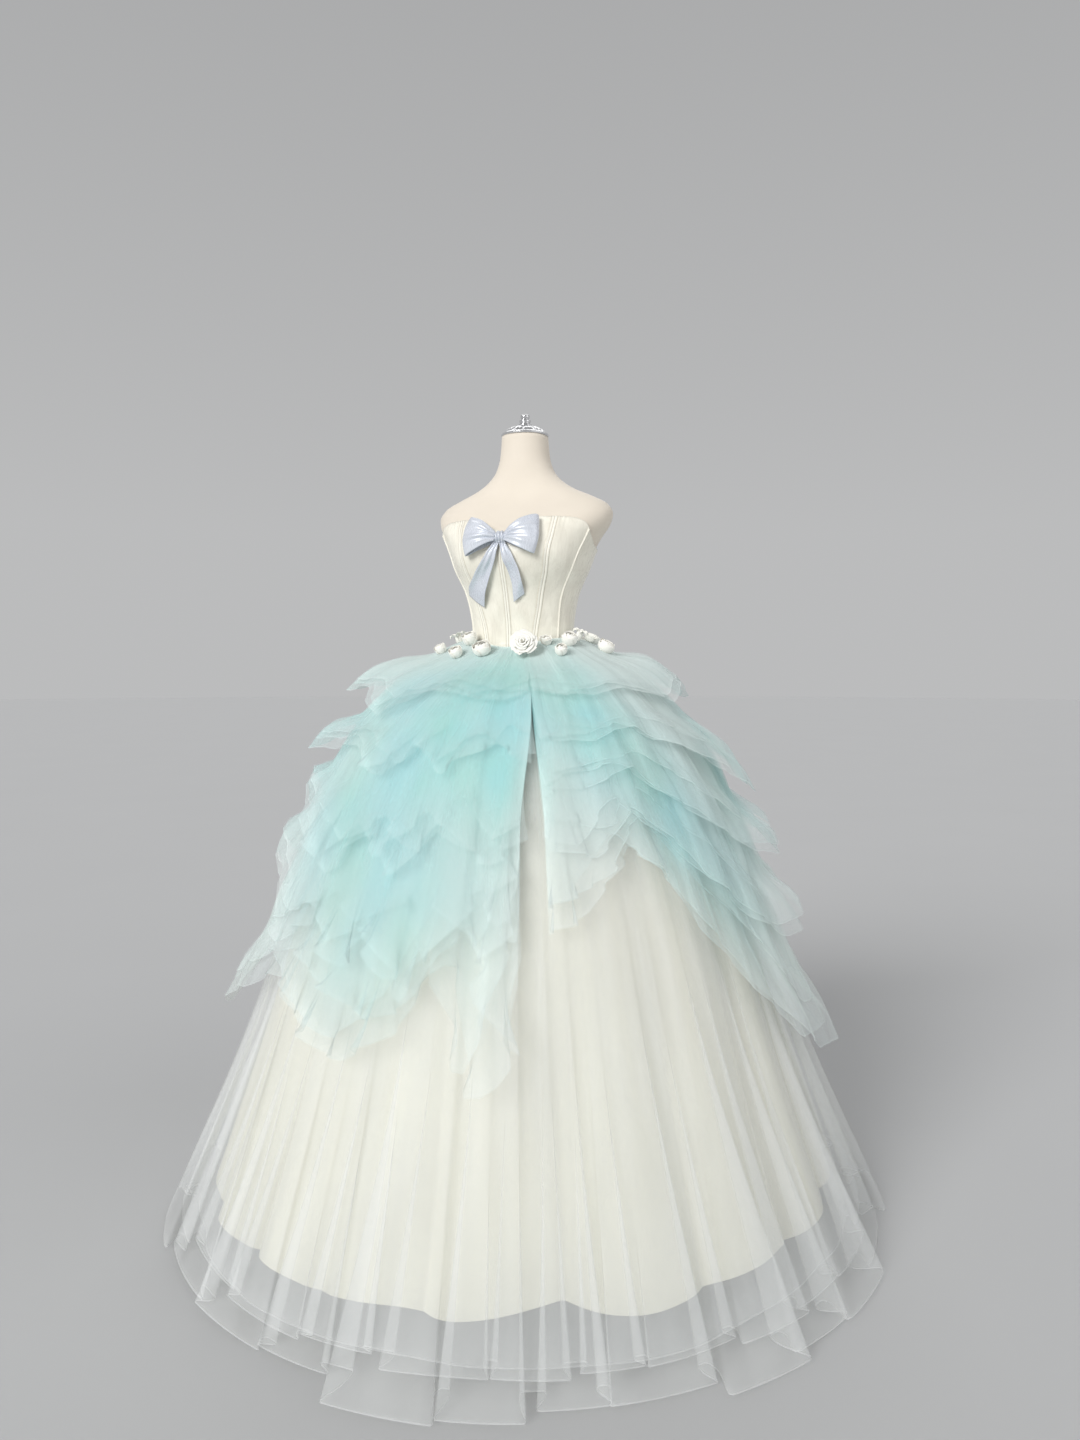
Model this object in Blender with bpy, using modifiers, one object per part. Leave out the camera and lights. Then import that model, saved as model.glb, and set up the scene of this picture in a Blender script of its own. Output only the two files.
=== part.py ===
# Ball gown on a limbless dress form.
# Metres, +Z up. The form faces -Y and the origin is the middle of the base plate's underside.
# Angles are measured round +Z from the front: 0 is -Y, a quarter turn is +X (the wearer's left).

from collections import namedtuple
from math import atan2, ceil, cos, exp, hypot, pi, radians, sin

import bmesh
import bpy
from mathutils import Matrix, Vector

# Driving sizes
SEAM_GAP = 0.0003
WAIST_FRONT = 1.128
WAIST_BACK = 1.148
FORM_BOTTOM = 0.900
FORM_TOP = 1.577
BODICE_EASE = 0.0018
NECKLINE_EASE = 0.0009
WAIST_EASE = 0.0012
BODICE_WALL = 0.0034
PLAIN_SHARE = 0.74
SATIN_WALL = 0.0015
TULLE_WALL = 0.0010
HEM_CLEARANCE = 0.0045
SLIT_ANGLE = radians(24)
BASE_RADIUS = 0.170
BASE_HEIGHT = 0.010
POLE_RADIUS = 0.0125


# Smooth reading of a table: rows rise in their first column and no value overshoots its neighbours.
def read_table(rows, at, column):
    spots = [row[0] for row in rows]
    values = [getattr(row, column) for row in rows]
    if at <= spots[0]:
        return values[0]
    if at >= spots[-1]:
        return values[-1]
    i = max(j for j in range(len(spots) - 1) if spots[j] <= at)
    steps = [spots[j + 1] - spots[j] for j in range(len(spots) - 1)]
    slopes = [(values[j + 1] - values[j]) / steps[j] for j in range(len(steps))]

    def tangent(j):
        if j == 0:
            return slopes[0]
        if j == len(steps):
            return slopes[-1]
        before, after = slopes[j - 1], slopes[j]
        if before * after <= 0:
            return 0.0
        return 2 * before * after / (before + after)

    t = (at - spots[i]) / steps[i]
    rise = steps[i] * (tangent(i) * t * (1 - t) ** 2 - tangent(i + 1) * t * t * (1 - t))
    blend = t * t * (3 - 2 * t)
    return values[i] * (1 - blend) + values[i + 1] * blend + rise


def ease(x):
    x = min(max(x, 0.0), 1.0)
    return x * x * (3 - 2 * x)


def turn_between(a, b):
    return (a - b + pi) % (2 * pi) - pi


# ---------------------------------------------------------------- dress form
TorsoRow = namedtuple("TorsoRow", "height width front back centre")
TORSO = [
    TorsoRow(0.900, 0.122, 0.086, 0.092, 0.006),
    TorsoRow(0.960, 0.158, 0.108, 0.124, 0.006),
    TorsoRow(1.010, 0.160, 0.108, 0.126, 0.005),
    TorsoRow(1.070, 0.139, 0.096, 0.106, 0.003),
    TorsoRow(1.110, 0.117, 0.086, 0.088, 0.001),
    TorsoRow(1.150, 0.1025, 0.0785, 0.0735, 0.000),
    TorsoRow(1.178, 0.1035, 0.0800, 0.0740, 0.000),
    TorsoRow(1.217, 0.1080, 0.0870, 0.0780, -0.001),
    TorsoRow(1.254, 0.1165, 0.0960, 0.0860, -0.002),
    TorsoRow(1.300, 0.1370, 0.1120, 0.0960, -0.002),
    TorsoRow(1.330, 0.1480, 0.1190, 0.1000, 0.000),
    TorsoRow(1.360, 0.1640, 0.1170, 0.1010, 0.004),
    TorsoRow(1.390, 0.1830, 0.1050, 0.0980, 0.008),
    TorsoRow(1.412, 0.1885, 0.0920, 0.0920, 0.012),
    TorsoRow(1.432, 0.1780, 0.0770, 0.0820, 0.015),
    TorsoRow(1.450, 0.1450, 0.0660, 0.0720, 0.016),
    TorsoRow(1.466, 0.1080, 0.0590, 0.0640, 0.015),
    TorsoRow(1.484, 0.0800, 0.0545, 0.0580, 0.014),
    TorsoRow(1.506, 0.0610, 0.0515, 0.0530, 0.013),
    TorsoRow(1.535, 0.0515, 0.0495, 0.0500, 0.012),
    TorsoRow(1.577, 0.0475, 0.0475, 0.0475, 0.011),
]
SECTION_POWER = 2.15
BUST_HEIGHT = 1.325
BUST_ANGLE = radians(33)
BUST_LOBE = 0.010
BUST_RISE = 0.055
BUST_SPREAD = radians(24)
WAIST_DIP_SPREAD = radians(42)


def torso_radius(angle, height):
    width = read_table(TORSO, height, "width")
    depth = read_table(TORSO, height, "front" if cos(angle) > 0 else "back")
    across = abs(sin(angle) / width) ** SECTION_POWER
    along = abs(cos(angle) / depth) ** SECTION_POWER
    radius = (across + along) ** (-1 / SECTION_POWER)
    level = exp(-(((height - BUST_HEIGHT) / BUST_RISE) ** 2))
    for side in (-1, 1):
        off = turn_between(angle, side * BUST_ANGLE) / BUST_SPREAD
        radius += BUST_LOBE * level * exp(-off * off)
    return radius


def torso_point(angle, height, outward=0.0):
    def at(a, h):
        reach = torso_radius(a, h)
        middle = read_table(TORSO, h, "centre")
        return Vector((sin(a) * reach, middle - cos(a) * reach, h))

    point = at(angle, height)
    if outward == 0.0:
        return point
    step = 0.002
    along = at(angle + step, height) - at(angle - step, height)
    up = at(angle, height + step) - at(angle, height - step)
    return point + along.cross(up).normalized() * outward


# Where the skirts are sewn on: lowest at the front, level from the sides to the back.
def waist_height(angle):
    off = turn_between(angle, 0.0) / WAIST_DIP_SPREAD
    return WAIST_BACK + (WAIST_FRONT - WAIST_BACK) * exp(-off * off)


# ---------------------------------------------------------------- bodice
SeamRow = namedtuple("SeamRow", "height princess corded side_back")
SEAMS = [
    SeamRow(1.120, 33.0, 64.0, 122.0),
    SeamRow(1.180, 37.0, 64.5, 120.0),
    SeamRow(1.230, 40.0, 63.5, 119.0),
    SeamRow(1.280, 40.5, 65.0, 118.0),
    SeamRow(1.320, 39.5, 67.0, 117.0),
    SeamRow(1.360, 42.5, 70.0, 116.0),
    SeamRow(1.400, 48.0, 72.0, 116.0),
]

# The neckline by angle from the front: a sweetheart dip, level cups, a drop under the arm.
NeckRow = namedtuple("NeckRow", "angle height")
NECKLINE = [
    NeckRow(0, 1.3660),
    NeckRow(9, 1.3720),
    NeckRow(24, 1.3890),
    NeckRow(36, 1.3955),
    NeckRow(60, 1.3950),
    NeckRow(67, 1.3880),
    NeckRow(74, 1.3660),
    NeckRow(86, 1.3460),
    NeckRow(110, 1.3370),
    NeckRow(180, 1.3360),
]

# Panels of one side: their two seams, the raised strip beside each seam and the columns between.
Panel = namedtuple("Panel", "name start start_strip end end_strip columns")
PANELS = [
    Panel("front", "centre_front", 0.0050, "princess", 0.0050, 3),
    Panel("side_front", "princess", 0.0050, "corded", 0.0018, 3),
    Panel("side", "corded", 0.0018, "side_back", 0.0035, 4),
    Panel("back", "side_back", 0.0035, "centre_back", 0.0035, 4),
]
BODICE_ROWS = (0.0, 0.15, 0.33, 0.51, 0.68, 0.85, 1.0)
BODICE_TUCK = 0.003
STRIP_SLOPE = 0.0015
NECKLINE_TURN = 0.1


def seam_angle(seam, height):
    if seam == "centre_front":
        return 0.0
    if seam == "centre_back":
        return pi
    return radians(read_table(SEAMS, height, seam))


def neckline_height(angle):
    return read_table(NECKLINE, abs(turn_between(angle, 0.0)) * 180 / pi, "height")


# A point of a panel's plain inner face: across runs from its first seam to its second.
def panel_spot(panel, across, up):
    angle = radians(60)
    for _ in range(8):
        low = waist_height(angle) - BODICE_TUCK
        height = low + up * (neckline_height(angle) - low)
        first = seam_angle(panel.start, height)
        last = seam_angle(panel.end, height)
        angle = first + across * (last - first)
    return angle, height


def panel_columns(panel):
    angle, height = panel_spot(panel, 0.5, 0.5)
    span = seam_angle(panel.end, height) - seam_angle(panel.start, height)
    width = span * torso_radius(angle, height)
    half_gap = SEAM_GAP / 2
    first = [half_gap, panel.start_strip, panel.start_strip + STRIP_SLOPE]
    last = [panel.end_strip + STRIP_SLOPE, panel.end_strip, half_gap]
    begin, end = first[-1] / width, 1 - last[0] / width
    middle = [begin + (end - begin) * i / panel.columns for i in range(1, panel.columns)]
    across = [d / width for d in first] + middle + [1 - d / width for d in last]
    raised = [1.0, 1.0] + [PLAIN_SHARE] * (len(across) - 4) + [1.0, 1.0]
    return across, raised


# ---------------------------------------------------------------- skirts
# Share of the drop from the waist to the floor, and the outer tulle's radius between its folds.
SkirtRow = namedtuple("SkirtRow", "share radius")
SKIRT = [
    SkirtRow(0.0000, 0.1090),
    SkirtRow(0.0100, 0.1380),
    SkirtRow(0.0260, 0.1740),
    SkirtRow(0.0440, 0.2050),
    SkirtRow(0.0670, 0.2400),
    SkirtRow(0.0960, 0.2700),
    SkirtRow(0.1300, 0.3010),
    SkirtRow(0.1740, 0.3360),
    SkirtRow(0.2260, 0.3700),
    SkirtRow(0.3040, 0.4120),
    SkirtRow(0.3910, 0.4510),
    SkirtRow(0.4780, 0.4840),
    SkirtRow(0.5650, 0.5140),
    SkirtRow(0.6520, 0.5460),
    SkirtRow(0.7390, 0.5810),
    SkirtRow(0.8260, 0.6180),
    SkirtRow(0.9130, 0.6560),
    SkirtRow(1.0000, 0.6920),
]

# How far each layer's inner face lies off that surface.
LayerRow = namedtuple("LayerRow", "share satin middle outer first second third fourth fifth")
LAYERS = [
    LayerRow(0.000, 0.000, 0.0023, 0.0043, 0.0061, 0.0079, 0.0097, 0.0115, 0.0133),
    LayerRow(0.030, -0.001, 0.0017, 0.0040, 0.0062, 0.0084, 0.0106, 0.0128, 0.0150),
    LayerRow(0.130, -0.008, -0.003, 0.002, 0.007, 0.012, 0.017, 0.022, 0.027),
    LayerRow(0.300, -0.014, -0.007, 0.000, 0.008, 0.016, 0.024, 0.032, 0.040),
    LayerRow(0.600, -0.026, -0.012, 0.000, 0.013, 0.022, 0.030, 0.038, 0.046),
    LayerRow(1.000, -0.046, -0.020, 0.000, 0.014, 0.024, 0.032, 0.040, 0.048),
]
TOP_ROWS = (0.0, 0.02, 0.07, 0.16)
FULL_ROWS = TOP_ROWS + (0.30, 0.50, 0.74, 1.0)
INNER_ROWS = TOP_ROWS + (0.32, 0.62, 1.0)

# Folds of the outer tulle: middle, half width and half crest in degrees, depth at the hem.
Fold = namedtuple("Fold", "angle half crest depth")
FOLDS = [
    Fold(-57.0, 7.5, 3.0, 0.040),
    Fold(-40.0, 6.0, 1.8, 0.020),
    Fold(-23.5, 7.0, 4.0, 0.034),
    Fold(-10.5, 4.5, 1.5, 0.022),
    Fold(4.2, 6.4, 4.2, 0.084),
    Fold(16.2, 4.6, 3.0, 0.070),
    Fold(27.0, 3.6, 1.4, 0.046),
    Fold(37.8, 6.2, 4.4, 0.048),
    Fold(50.6, 5.6, 3.0, 0.083),
    Fold(62.2, 4.6, 1.6, 0.056),
    Fold(74.2, 6.0, 2.4, 0.064),
    Fold(91.0, 7.0, 2.8, 0.034),
    Fold(106.0, 5.5, 2.2, 0.058),
    Fold(119.5, 6.2, 3.4, 0.044),
    Fold(133.0, 5.4, 1.8, 0.070),
    Fold(147.0, 6.6, 3.6, 0.052),
    Fold(161.5, 5.2, 2.0, 0.062),
    Fold(174.5, 6.0, 3.2, 0.040),
    Fold(188.0, 5.6, 1.8, 0.072),
    Fold(201.0, 6.4, 3.8, 0.050),
    Fold(215.0, 5.4, 2.0, 0.060),
    Fold(228.5, 6.4, 3.2, 0.044),
    Fold(242.5, 5.4, 1.8, 0.066),
    Fold(256.0, 6.2, 3.4, 0.048),
    Fold(270.5, 5.6, 2.0, 0.056),
    Fold(285.5, 6.6, 3.0, 0.038),
]
FOLD_START = 0.36
FOLD_GROWTH = 1.7
COVER_STEPS = [radians(step) for step in (-6, -3, 0, 3, 6)]
SATIN_WAVES = 11
SATIN_WAVE_START = 0.15
SATIN_WAVE_DEPTH = 0.014
MIDDLE_WAVE_DEPTH = 0.005
ROUND_FROM = 0.13


def waist_radius(angle):
    return torso_radius(angle, waist_height(angle)) + BODICE_EASE + BODICE_WALL + WAIST_EASE


# The skirt has the waist's oval shape at the top and is round from a little below the hip.
def skirt_radius(angle, share):
    round_radius = read_table(SKIRT, share, "radius")
    waist_shape = waist_radius(angle) / SKIRT[0].radius
    return round_radius * (1 - (1 - waist_shape) * (1 - ease(share / ROUND_FROM)))


def fold_depth(angle, share):
    grown = max((share - FOLD_START) / (1 - FOLD_START), 0.0) ** FOLD_GROWTH
    if grown == 0:
        return 0.0
    for fold in FOLDS:
        off = abs(turn_between(angle, radians(fold.angle))) * 180 / pi
        if off < fold.half:
            return grown * fold.depth * ease((fold.half - off) / (fold.half - fold.crest))
    return 0.0


# The folds as a cloth lying over them meets them: the highest one within reach.
def fold_cover(angle, share):
    return max(fold_depth(angle + step, share) for step in COVER_STEPS)


# The soft flutes of the satin, a little closer together in some places than in others.
def satin_wave(angle, share):
    grown = ease((share - SATIN_WAVE_START) / (1 - SATIN_WAVE_START))
    return grown * sin(SATIN_WAVES * angle + 1.3 * sin(2 * angle) + 0.4)


# A point of a layer, moved off the skirt's surface along its slope.
def skirt_point(angle, share, outward, swell=None):
    def at(s):
        extra = swell(angle, s) if swell else 0.0
        return skirt_radius(angle, s) + extra, waist_height(angle) * (1 - s)

    radius, height = at(share)
    step = 0.004
    high, low = at(max(share - step, 0.0)), at(share + step)
    run, drop = low[0] - high[0], high[1] - low[1]
    size = hypot(run, drop)
    radius += outward * drop / size
    height += outward * run / size
    return Vector((sin(angle) * radius, -cos(angle) * radius, height))


# ---------------------------------------------------------------- overlay tiers
# Handkerchief hems of the five tiers, the innermost and longest first: the hem's height at each
# corner and notch, and how far it stands out there. Left is the wearer's right.
Corner = namedtuple("Corner", "angle height flare")
TIERS = {
    "first": {
        "left": [
            Corner(24, 0.70, 0.004), Corner(36, 0.715, 0.006), Corner(46, 0.79, 0.004),
            Corner(56, 0.70, 0.006), Corner(66, 0.58, 0.008), Corner(76, 0.47, 0.012),
            Corner(86, 0.36, 0.018), Corner(101, 0.33, 0.022), Corner(112, 0.43, 0.018),
            Corner(125, 0.36, 0.022), Corner(140, 0.47, 0.010), Corner(160, 0.38, 0.020),
            Corner(182, 0.48, 0.010), Corner(204, 0.42, 0.010),
        ],
        "right": [
            Corner(24, 0.62, 0.004), Corner(15, 0.38, 0.016), Corner(7, 0.62, 0.006),
            Corner(-4, 0.48, 0.010), Corner(-12, 0.42, 0.014), Corner(-24, 0.47, 0.010),
            Corner(-37, 0.53, 0.008), Corner(-52, 0.46, 0.016), Corner(-69, 0.37, 0.034),
            Corner(-84, 0.50, 0.014), Corner(-101, 0.41, 0.024), Corner(-119, 0.52, 0.010),
            Corner(-137, 0.40, 0.022), Corner(-156, 0.48, 0.010),
        ],
    },
    "second": {
        "left": [
            Corner(24, 0.78, 0.004), Corner(37, 0.76, 0.008), Corner(47, 0.845, 0.004),
            Corner(59, 0.76, 0.008), Corner(75, 0.63, 0.014), Corner(90, 0.56, 0.020),
            Corner(105, 0.545, 0.038), Corner(126, 0.66, 0.010), Corner(145, 0.55, 0.024),
            Corner(170, 0.66, 0.010), Corner(188, 0.58, 0.018), Corner(204, 0.62, 0.010),
        ],
        "right": [
            Corner(24, 0.72, 0.004), Corner(14, 0.60, 0.012), Corner(8, 0.68, 0.006),
            Corner(0, 0.535, 0.014), Corner(-11, 0.56, 0.010), Corner(-26, 0.63, 0.008),
            Corner(-41, 0.57, 0.014), Corner(-56, 0.65, 0.012), Corner(-71, 0.69, 0.038),
            Corner(-90, 0.60, 0.018), Corner(-110, 0.68, 0.012), Corner(-131, 0.56, 0.022),
            Corner(-156, 0.65, 0.010),
        ],
    },
    "third": {
        "left": [
            Corner(24, 0.86, 0.004), Corner(38, 0.88, 0.006), Corner(50, 0.90, 0.006),
            Corner(65, 0.82, 0.012), Corner(84, 0.73, 0.018), Corner(105, 0.685, 0.040),
            Corner(119, 0.76, 0.016), Corner(135, 0.69, 0.024), Corner(156, 0.79, 0.012),
            Corner(180, 0.70, 0.022), Corner(204, 0.76, 0.010),
        ],
        "right": [
            Corner(24, 0.80, 0.004), Corner(12, 0.76, 0.010), Corner(1, 0.80, 0.008),
            Corner(-10, 0.755, 0.012), Corner(-26, 0.72, 0.012), Corner(-43, 0.775, 0.012),
            Corner(-57, 0.80, 0.016), Corner(-72, 0.83, 0.028), Corner(-91, 0.74, 0.020),
            Corner(-111, 0.81, 0.012), Corner(-134, 0.70, 0.024), Corner(-156, 0.77, 0.010),
        ],
    },
    "fourth": {
        "left": [
            Corner(24, 0.95, 0.004), Corner(40, 0.945, 0.006), Corner(55, 0.97, 0.008),
            Corner(76, 0.90, 0.016), Corner(104, 0.805, 0.034), Corner(116, 0.88, 0.018),
            Corner(130, 0.93, 0.014), Corner(149, 0.84, 0.026), Corner(175, 0.92, 0.012),
            Corner(204, 0.85, 0.010),
        ],
        "right": [
            Corner(24, 0.93, 0.004), Corner(10, 0.91, 0.008), Corner(-2, 0.935, 0.008),
            Corner(-16, 0.88, 0.012), Corner(-35, 0.93, 0.012), Corner(-52, 0.91, 0.018),
            Corner(-66, 0.89, 0.042), Corner(-84, 0.93, 0.018), Corner(-104, 0.86, 0.024),
            Corner(-128, 0.94, 0.012), Corner(-156, 0.86, 0.010),
        ],
    },
    "fifth": {
        "left": [
            Corner(24, 1.035, 0.004), Corner(42, 1.02, 0.006), Corner(60, 1.035, 0.010),
            Corner(82, 1.00, 0.018), Corner(107, 1.040, 0.030), Corner(121, 0.99, 0.026),
            Corner(140, 1.03, 0.014), Corner(165, 0.97, 0.022), Corner(204, 1.01, 0.010),
        ],
        "right": [
            Corner(24, 1.03, 0.004), Corner(6, 1.01, 0.008), Corner(-14, 1.03, 0.010),
            Corner(-34, 0.98, 0.014), Corner(-56, 1.02, 0.020), Corner(-73, 0.995, 0.046),
            Corner(-94, 1.03, 0.020), Corner(-120, 0.96, 0.022), Corner(-156, 1.01, 0.010),
        ],
    },
}

# The rows near the waist of each tier, and how many more it has down to its hem.
TierRows = namedtuple("TierRows", "upper lower")
TIER_ROWS = {
    "first": TierRows(TOP_ROWS, 3),
    "second": TierRows(TOP_ROWS, 2),
    "third": TierRows(TOP_ROWS, 2),
    "fourth": TierRows(TOP_ROWS[:3] + (0.12,), 2),
    "fifth": TierRows(TOP_ROWS[:3], 1),
}
TIER_ORDER = tuple(TIER_ROWS)
TIER_STEP = 12.5
RUFFLE_WAVES = 18
RUFFLE_SHIFT = 1.9
RUFFLE_DEPTH = 0.0015
HEM_RUFFLE_DEPTH = 0.008
FLARE_REACH = 0.11
FLARE_FROM = 0.02
FLARE_CLEARANCE = 0.012
SLIT_OPENING = radians(2.2)
SLIT_FROM = 0.10
SLIT_LENGTH = 0.35


def tier_corner(tier, half, angle, column):
    corners = sorted(TIERS[tier][half])
    spot = min(max(angle * 180 / pi, corners[0].angle), corners[-1].angle)
    for low, high in zip(corners, corners[1:]):
        if spot <= high.angle:
            share = (spot - low.angle) / (high.angle - low.angle)
            return getattr(low, column) * (1 - share) + getattr(high, column) * share
    return getattr(corners[-1], column)


def tier_hem(tier, half, angle):
    return 1 - tier_corner(tier, half, angle, "height") / waist_height(angle)


# A tier lies flat under the next one, and stands out from where that one ends down to its own hem.
def tier_point(tier, half, angle, share):
    number = TIER_ORDER.index(tier)
    hem = tier_hem(tier, half, angle)
    start = max(hem - FLARE_REACH, FLARE_FROM)
    if tier != TIER_ORDER[-1]:
        start = max(start, tier_hem(TIER_ORDER[number + 1], half, angle) + FLARE_CLEARANCE)
    flared = min(max((share - start) / max(hem - start, 0.01), 0.0), 1.0) ** 2
    wave = sin(RUFFLE_WAVES * (angle - SLIT_ANGLE) + RUFFLE_SHIFT * number)
    outward = read_table(LAYERS, share, tier)
    outward += RUFFLE_DEPTH * ease((share - 0.08) / 0.2) * wave
    outward += flared * (tier_corner(tier, half, angle, "flare") + HEM_RUFFLE_DEPTH * (1 + wave) / 2)
    return skirt_point(angle, share, outward, fold_cover)


# ---------------------------------------------------------------- making objects
def make_collection(name):
    collection = bpy.data.collections.new(name)
    bpy.context.scene.collection.children.link(collection)
    return collection


def make_material(name, colour, roughness, metallic=0.0):
    material = bpy.data.materials.new(name)
    material.use_nodes = True
    shader = material.node_tree.nodes["Principled BSDF"]
    shader.inputs["Base Color"].default_value = (*colour, 1.0)
    shader.inputs["Roughness"].default_value = roughness
    shader.inputs["Metallic"].default_value = metallic
    material.diffuse_color = (*colour, 1.0)
    return material


def add_object(name, mesh, material, collection):
    mesh.materials.append(material)
    piece = bpy.data.objects.new(name, mesh)
    collection.objects.link(piece)
    mesh.shade_smooth()
    mesh.set_sharp_from_angle(angle=radians(40))
    return piece


# A cloth wall from rows of points that run upwards, each row along rising angles. From the row
# numbered smooth_from up, only every second column is kept, because no fold reaches there.
def add_wall(name, rows, thickness, material, collection, raised=None, grow=1.0, smooth_from=None):
    mesh = bpy.data.meshes.new(name)
    width = len(rows[0])
    thinned = sorted({*range(0, width, 2), width - 1})
    points, numbers, faces = [], [], []
    for r, row in enumerate(rows):
        kept = thinned if smooth_from is not None and r >= smooth_from else range(width)
        numbers.append({c: len(points) + i for i, c in enumerate(kept)})
        points += [row[c] for c in kept]
    for below, above in zip(numbers, numbers[1:]):
        kept = sorted(above)
        for c, d in zip(kept, kept[1:]):
            lower = [below[i] for i in range(c, d + 1) if i in below]
            faces.append((*lower, above[d], above[c]))
    mesh.from_pydata(points, [], faces)
    piece = add_object(name, mesh, material, collection)
    wall = piece.modifiers.new("cloth wall", "SOLIDIFY")
    wall.thickness = thickness
    wall.offset = grow
    if raised:
        group = piece.vertex_groups.new(name="wall share")
        for r in range(len(rows)):
            for c in range(width):
                group.add([r * width + c], raised[c], "REPLACE")
        wall.vertex_group = group.name
    return piece


def add_turned(name, profile, steps, material, collection):
    mesh = bpy.data.meshes.new(name)
    points = [(radius, 0.0, height) for radius, height in profile]
    mesh.from_pydata(points, [(i, i + 1) for i in range(len(points) - 1)], [])
    piece = add_object(name, mesh, material, collection)
    screw = piece.modifiers.new("turning", "SCREW")
    screw.steps = steps
    screw.render_steps = steps
    screw.use_merge_vertices = True
    screw.merge_threshold = 0.00005
    return piece


# ---------------------------------------------------------------- the form and its stand
TORSO_LEVELS = (
    0.900, 0.950, 1.010, 1.070, 1.110, 1.145, 1.180, 1.215, 1.250, 1.285, 1.312, 1.336,
    1.360, 1.382, 1.400, 1.416, 1.431, 1.445, 1.459, 1.477, 1.503, 1.535, 1.577,
)
TORSO_COLUMNS = 38
SIDE_CROWDING = 1.10
FORM_SLACK = 0.0036


# The form is a little slimmer than the bodice that stands round it on its boning.
def form_inset(height):
    return FORM_SLACK * ease((height - 1.10) / 0.04) * ease((1.408 - height) / 0.03)


def build_form(collection, skin, chrome, steel):
    mesh = bpy.data.meshes.new("form_torso")
    work = bmesh.new()
    rings = []
    for height in TORSO_LEVELS:
        ring = []
        for i in range(TORSO_COLUMNS):
            turn = 2 * pi * i / TORSO_COLUMNS
            angle = atan2(SIDE_CROWDING * sin(turn), cos(turn))
            ring.append(work.verts.new(torso_point(angle, height, -form_inset(height))))
        rings.append(ring)
    for low, high in zip(rings, rings[1:]):
        for i in range(TORSO_COLUMNS):
            j = (i + 1) % TORSO_COLUMNS
            work.faces.new((low[i], low[j], high[j], high[i]))
    work.faces.new(rings[0][::-1])
    work.faces.new(rings[-1])
    work.to_mesh(mesh)
    work.free()
    add_object("form_torso", mesh, skin, collection)

    rim = FORM_TOP + SEAM_GAP
    cap = [
        (0.0, rim + 0.0200), (0.0130, rim + 0.0198), (0.0160, rim + 0.0175), (0.0300, rim + 0.0120),
        (0.0420, rim + 0.0060), (0.0480, rim + 0.0048), (0.0490, rim + 0.0025), (0.0480, rim),
        (0.0, rim),
    ]
    centre = read_table(TORSO, FORM_TOP, "centre")
    add_turned("neck_cap", cap, 22, chrome, collection).location.y = centre
    foot = rim + 0.0200 + SEAM_GAP
    finial = [
        (0.0, foot + 0.0270), (0.0050, foot + 0.0258), (0.0085, foot + 0.0220),
        (0.0075, foot + 0.0170), (0.0100, foot + 0.0150), (0.0105, foot + 0.0080),
        (0.0125, foot + 0.0060), (0.0125, foot), (0.0, foot),
    ]
    add_turned("finial", finial, 12, chrome, collection).location.y = centre

    top = BASE_HEIGHT + 0.030
    base = [
        (0.0, top), (0.0220, top), (0.0240, top - 0.003), (0.0260, BASE_HEIGHT + 0.004),
        (0.0600, BASE_HEIGHT), (BASE_RADIUS - 0.006, BASE_HEIGHT - 0.003),
        (BASE_RADIUS, BASE_HEIGHT - 0.007), (BASE_RADIUS, 0.0), (0.0, 0.0),
    ]
    add_turned("stand_base", base, 32, steel, collection)
    low, high = top + SEAM_GAP, FORM_BOTTOM - SEAM_GAP
    pole = [(0.0, high), (POLE_RADIUS, high), (POLE_RADIUS, low), (0.0, low)]
    add_turned("stand_pole", pole, 16, steel, collection)


def build_bodice(collection, satin):
    for side, word in ((1, "left"), (-1, "right")):
        for panel in PANELS:
            across, raised = panel_columns(panel)
            rows = []
            for up in BODICE_ROWS:
                row = []
                for share in across:
                    angle, height = panel_spot(panel, share, up)
                    ease_off = (BODICE_EASE - NECKLINE_EASE) * ease((1 - up) / NECKLINE_TURN)
                    point = torso_point(angle, height, NECKLINE_EASE + ease_off)
                    row.append(Vector((side * point.x, point.y, point.z)))
                rows.append(row if side > 0 else row[::-1])
            shares = raised if side > 0 else raised[::-1]
            name = f"bodice_{panel.name}_{word}"
            add_wall(name, rows, BODICE_WALL, satin, collection, raised=shares)


# Columns of a width of cloth: it ends halfway to the neighbour columns, at its seams.
def panel_rows(angles, shares, point):
    rows = []
    for share in shares:
        line = [point(angle, share) for angle in angles]
        first = (line[1] - line[0]).normalized() * (SEAM_GAP / 2)
        last = (line[-1] - line[-2]).normalized() * (SEAM_GAP / 2)
        start = (line[0] + line[1]) / 2 + first
        end = (line[-2] + line[-1]) / 2 - last
        rows.append([start] + line[1:-1] + [end])
    return rows[::-1]


SATIN_COLUMNS = 42
SATIN_HEM = 0.925
MIDDLE_HEM = 0.972
GORE_COLUMNS = 7
SATIN_GORES = (
    ("front", -4), ("side_front_left", 3), ("side_back_left", 10),
    ("back", 17), ("side_back_right", 24), ("side_front_right", 31),
)
WIDTH_COLUMNS = 21
MIDDLE_WIDTHS = (("left", 3), ("right", 24))
OUTER_WIDTHS = (("front", 1), ("left", 9), ("back", 16), ("right", 22))
FRONT_LIFT = 0.045
FRONT_LIFT_SPREAD = radians(12)


# Where a row lies on a cloth that ends at the given hem: the rows near the waist are shared.
def row_share(level, hem, top=TOP_ROWS[-1]):
    return level if level <= top else top + (level - top) / (1 - top) * (hem - top)


# The satin's hem rises a little in the middle of the front, where the slit of the overlay is.
def satin_hem(angle):
    off = turn_between(angle, SLIT_ANGLE) / FRONT_LIFT_SPREAD
    return SATIN_HEM - FRONT_LIFT * exp(-off * off)


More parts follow.
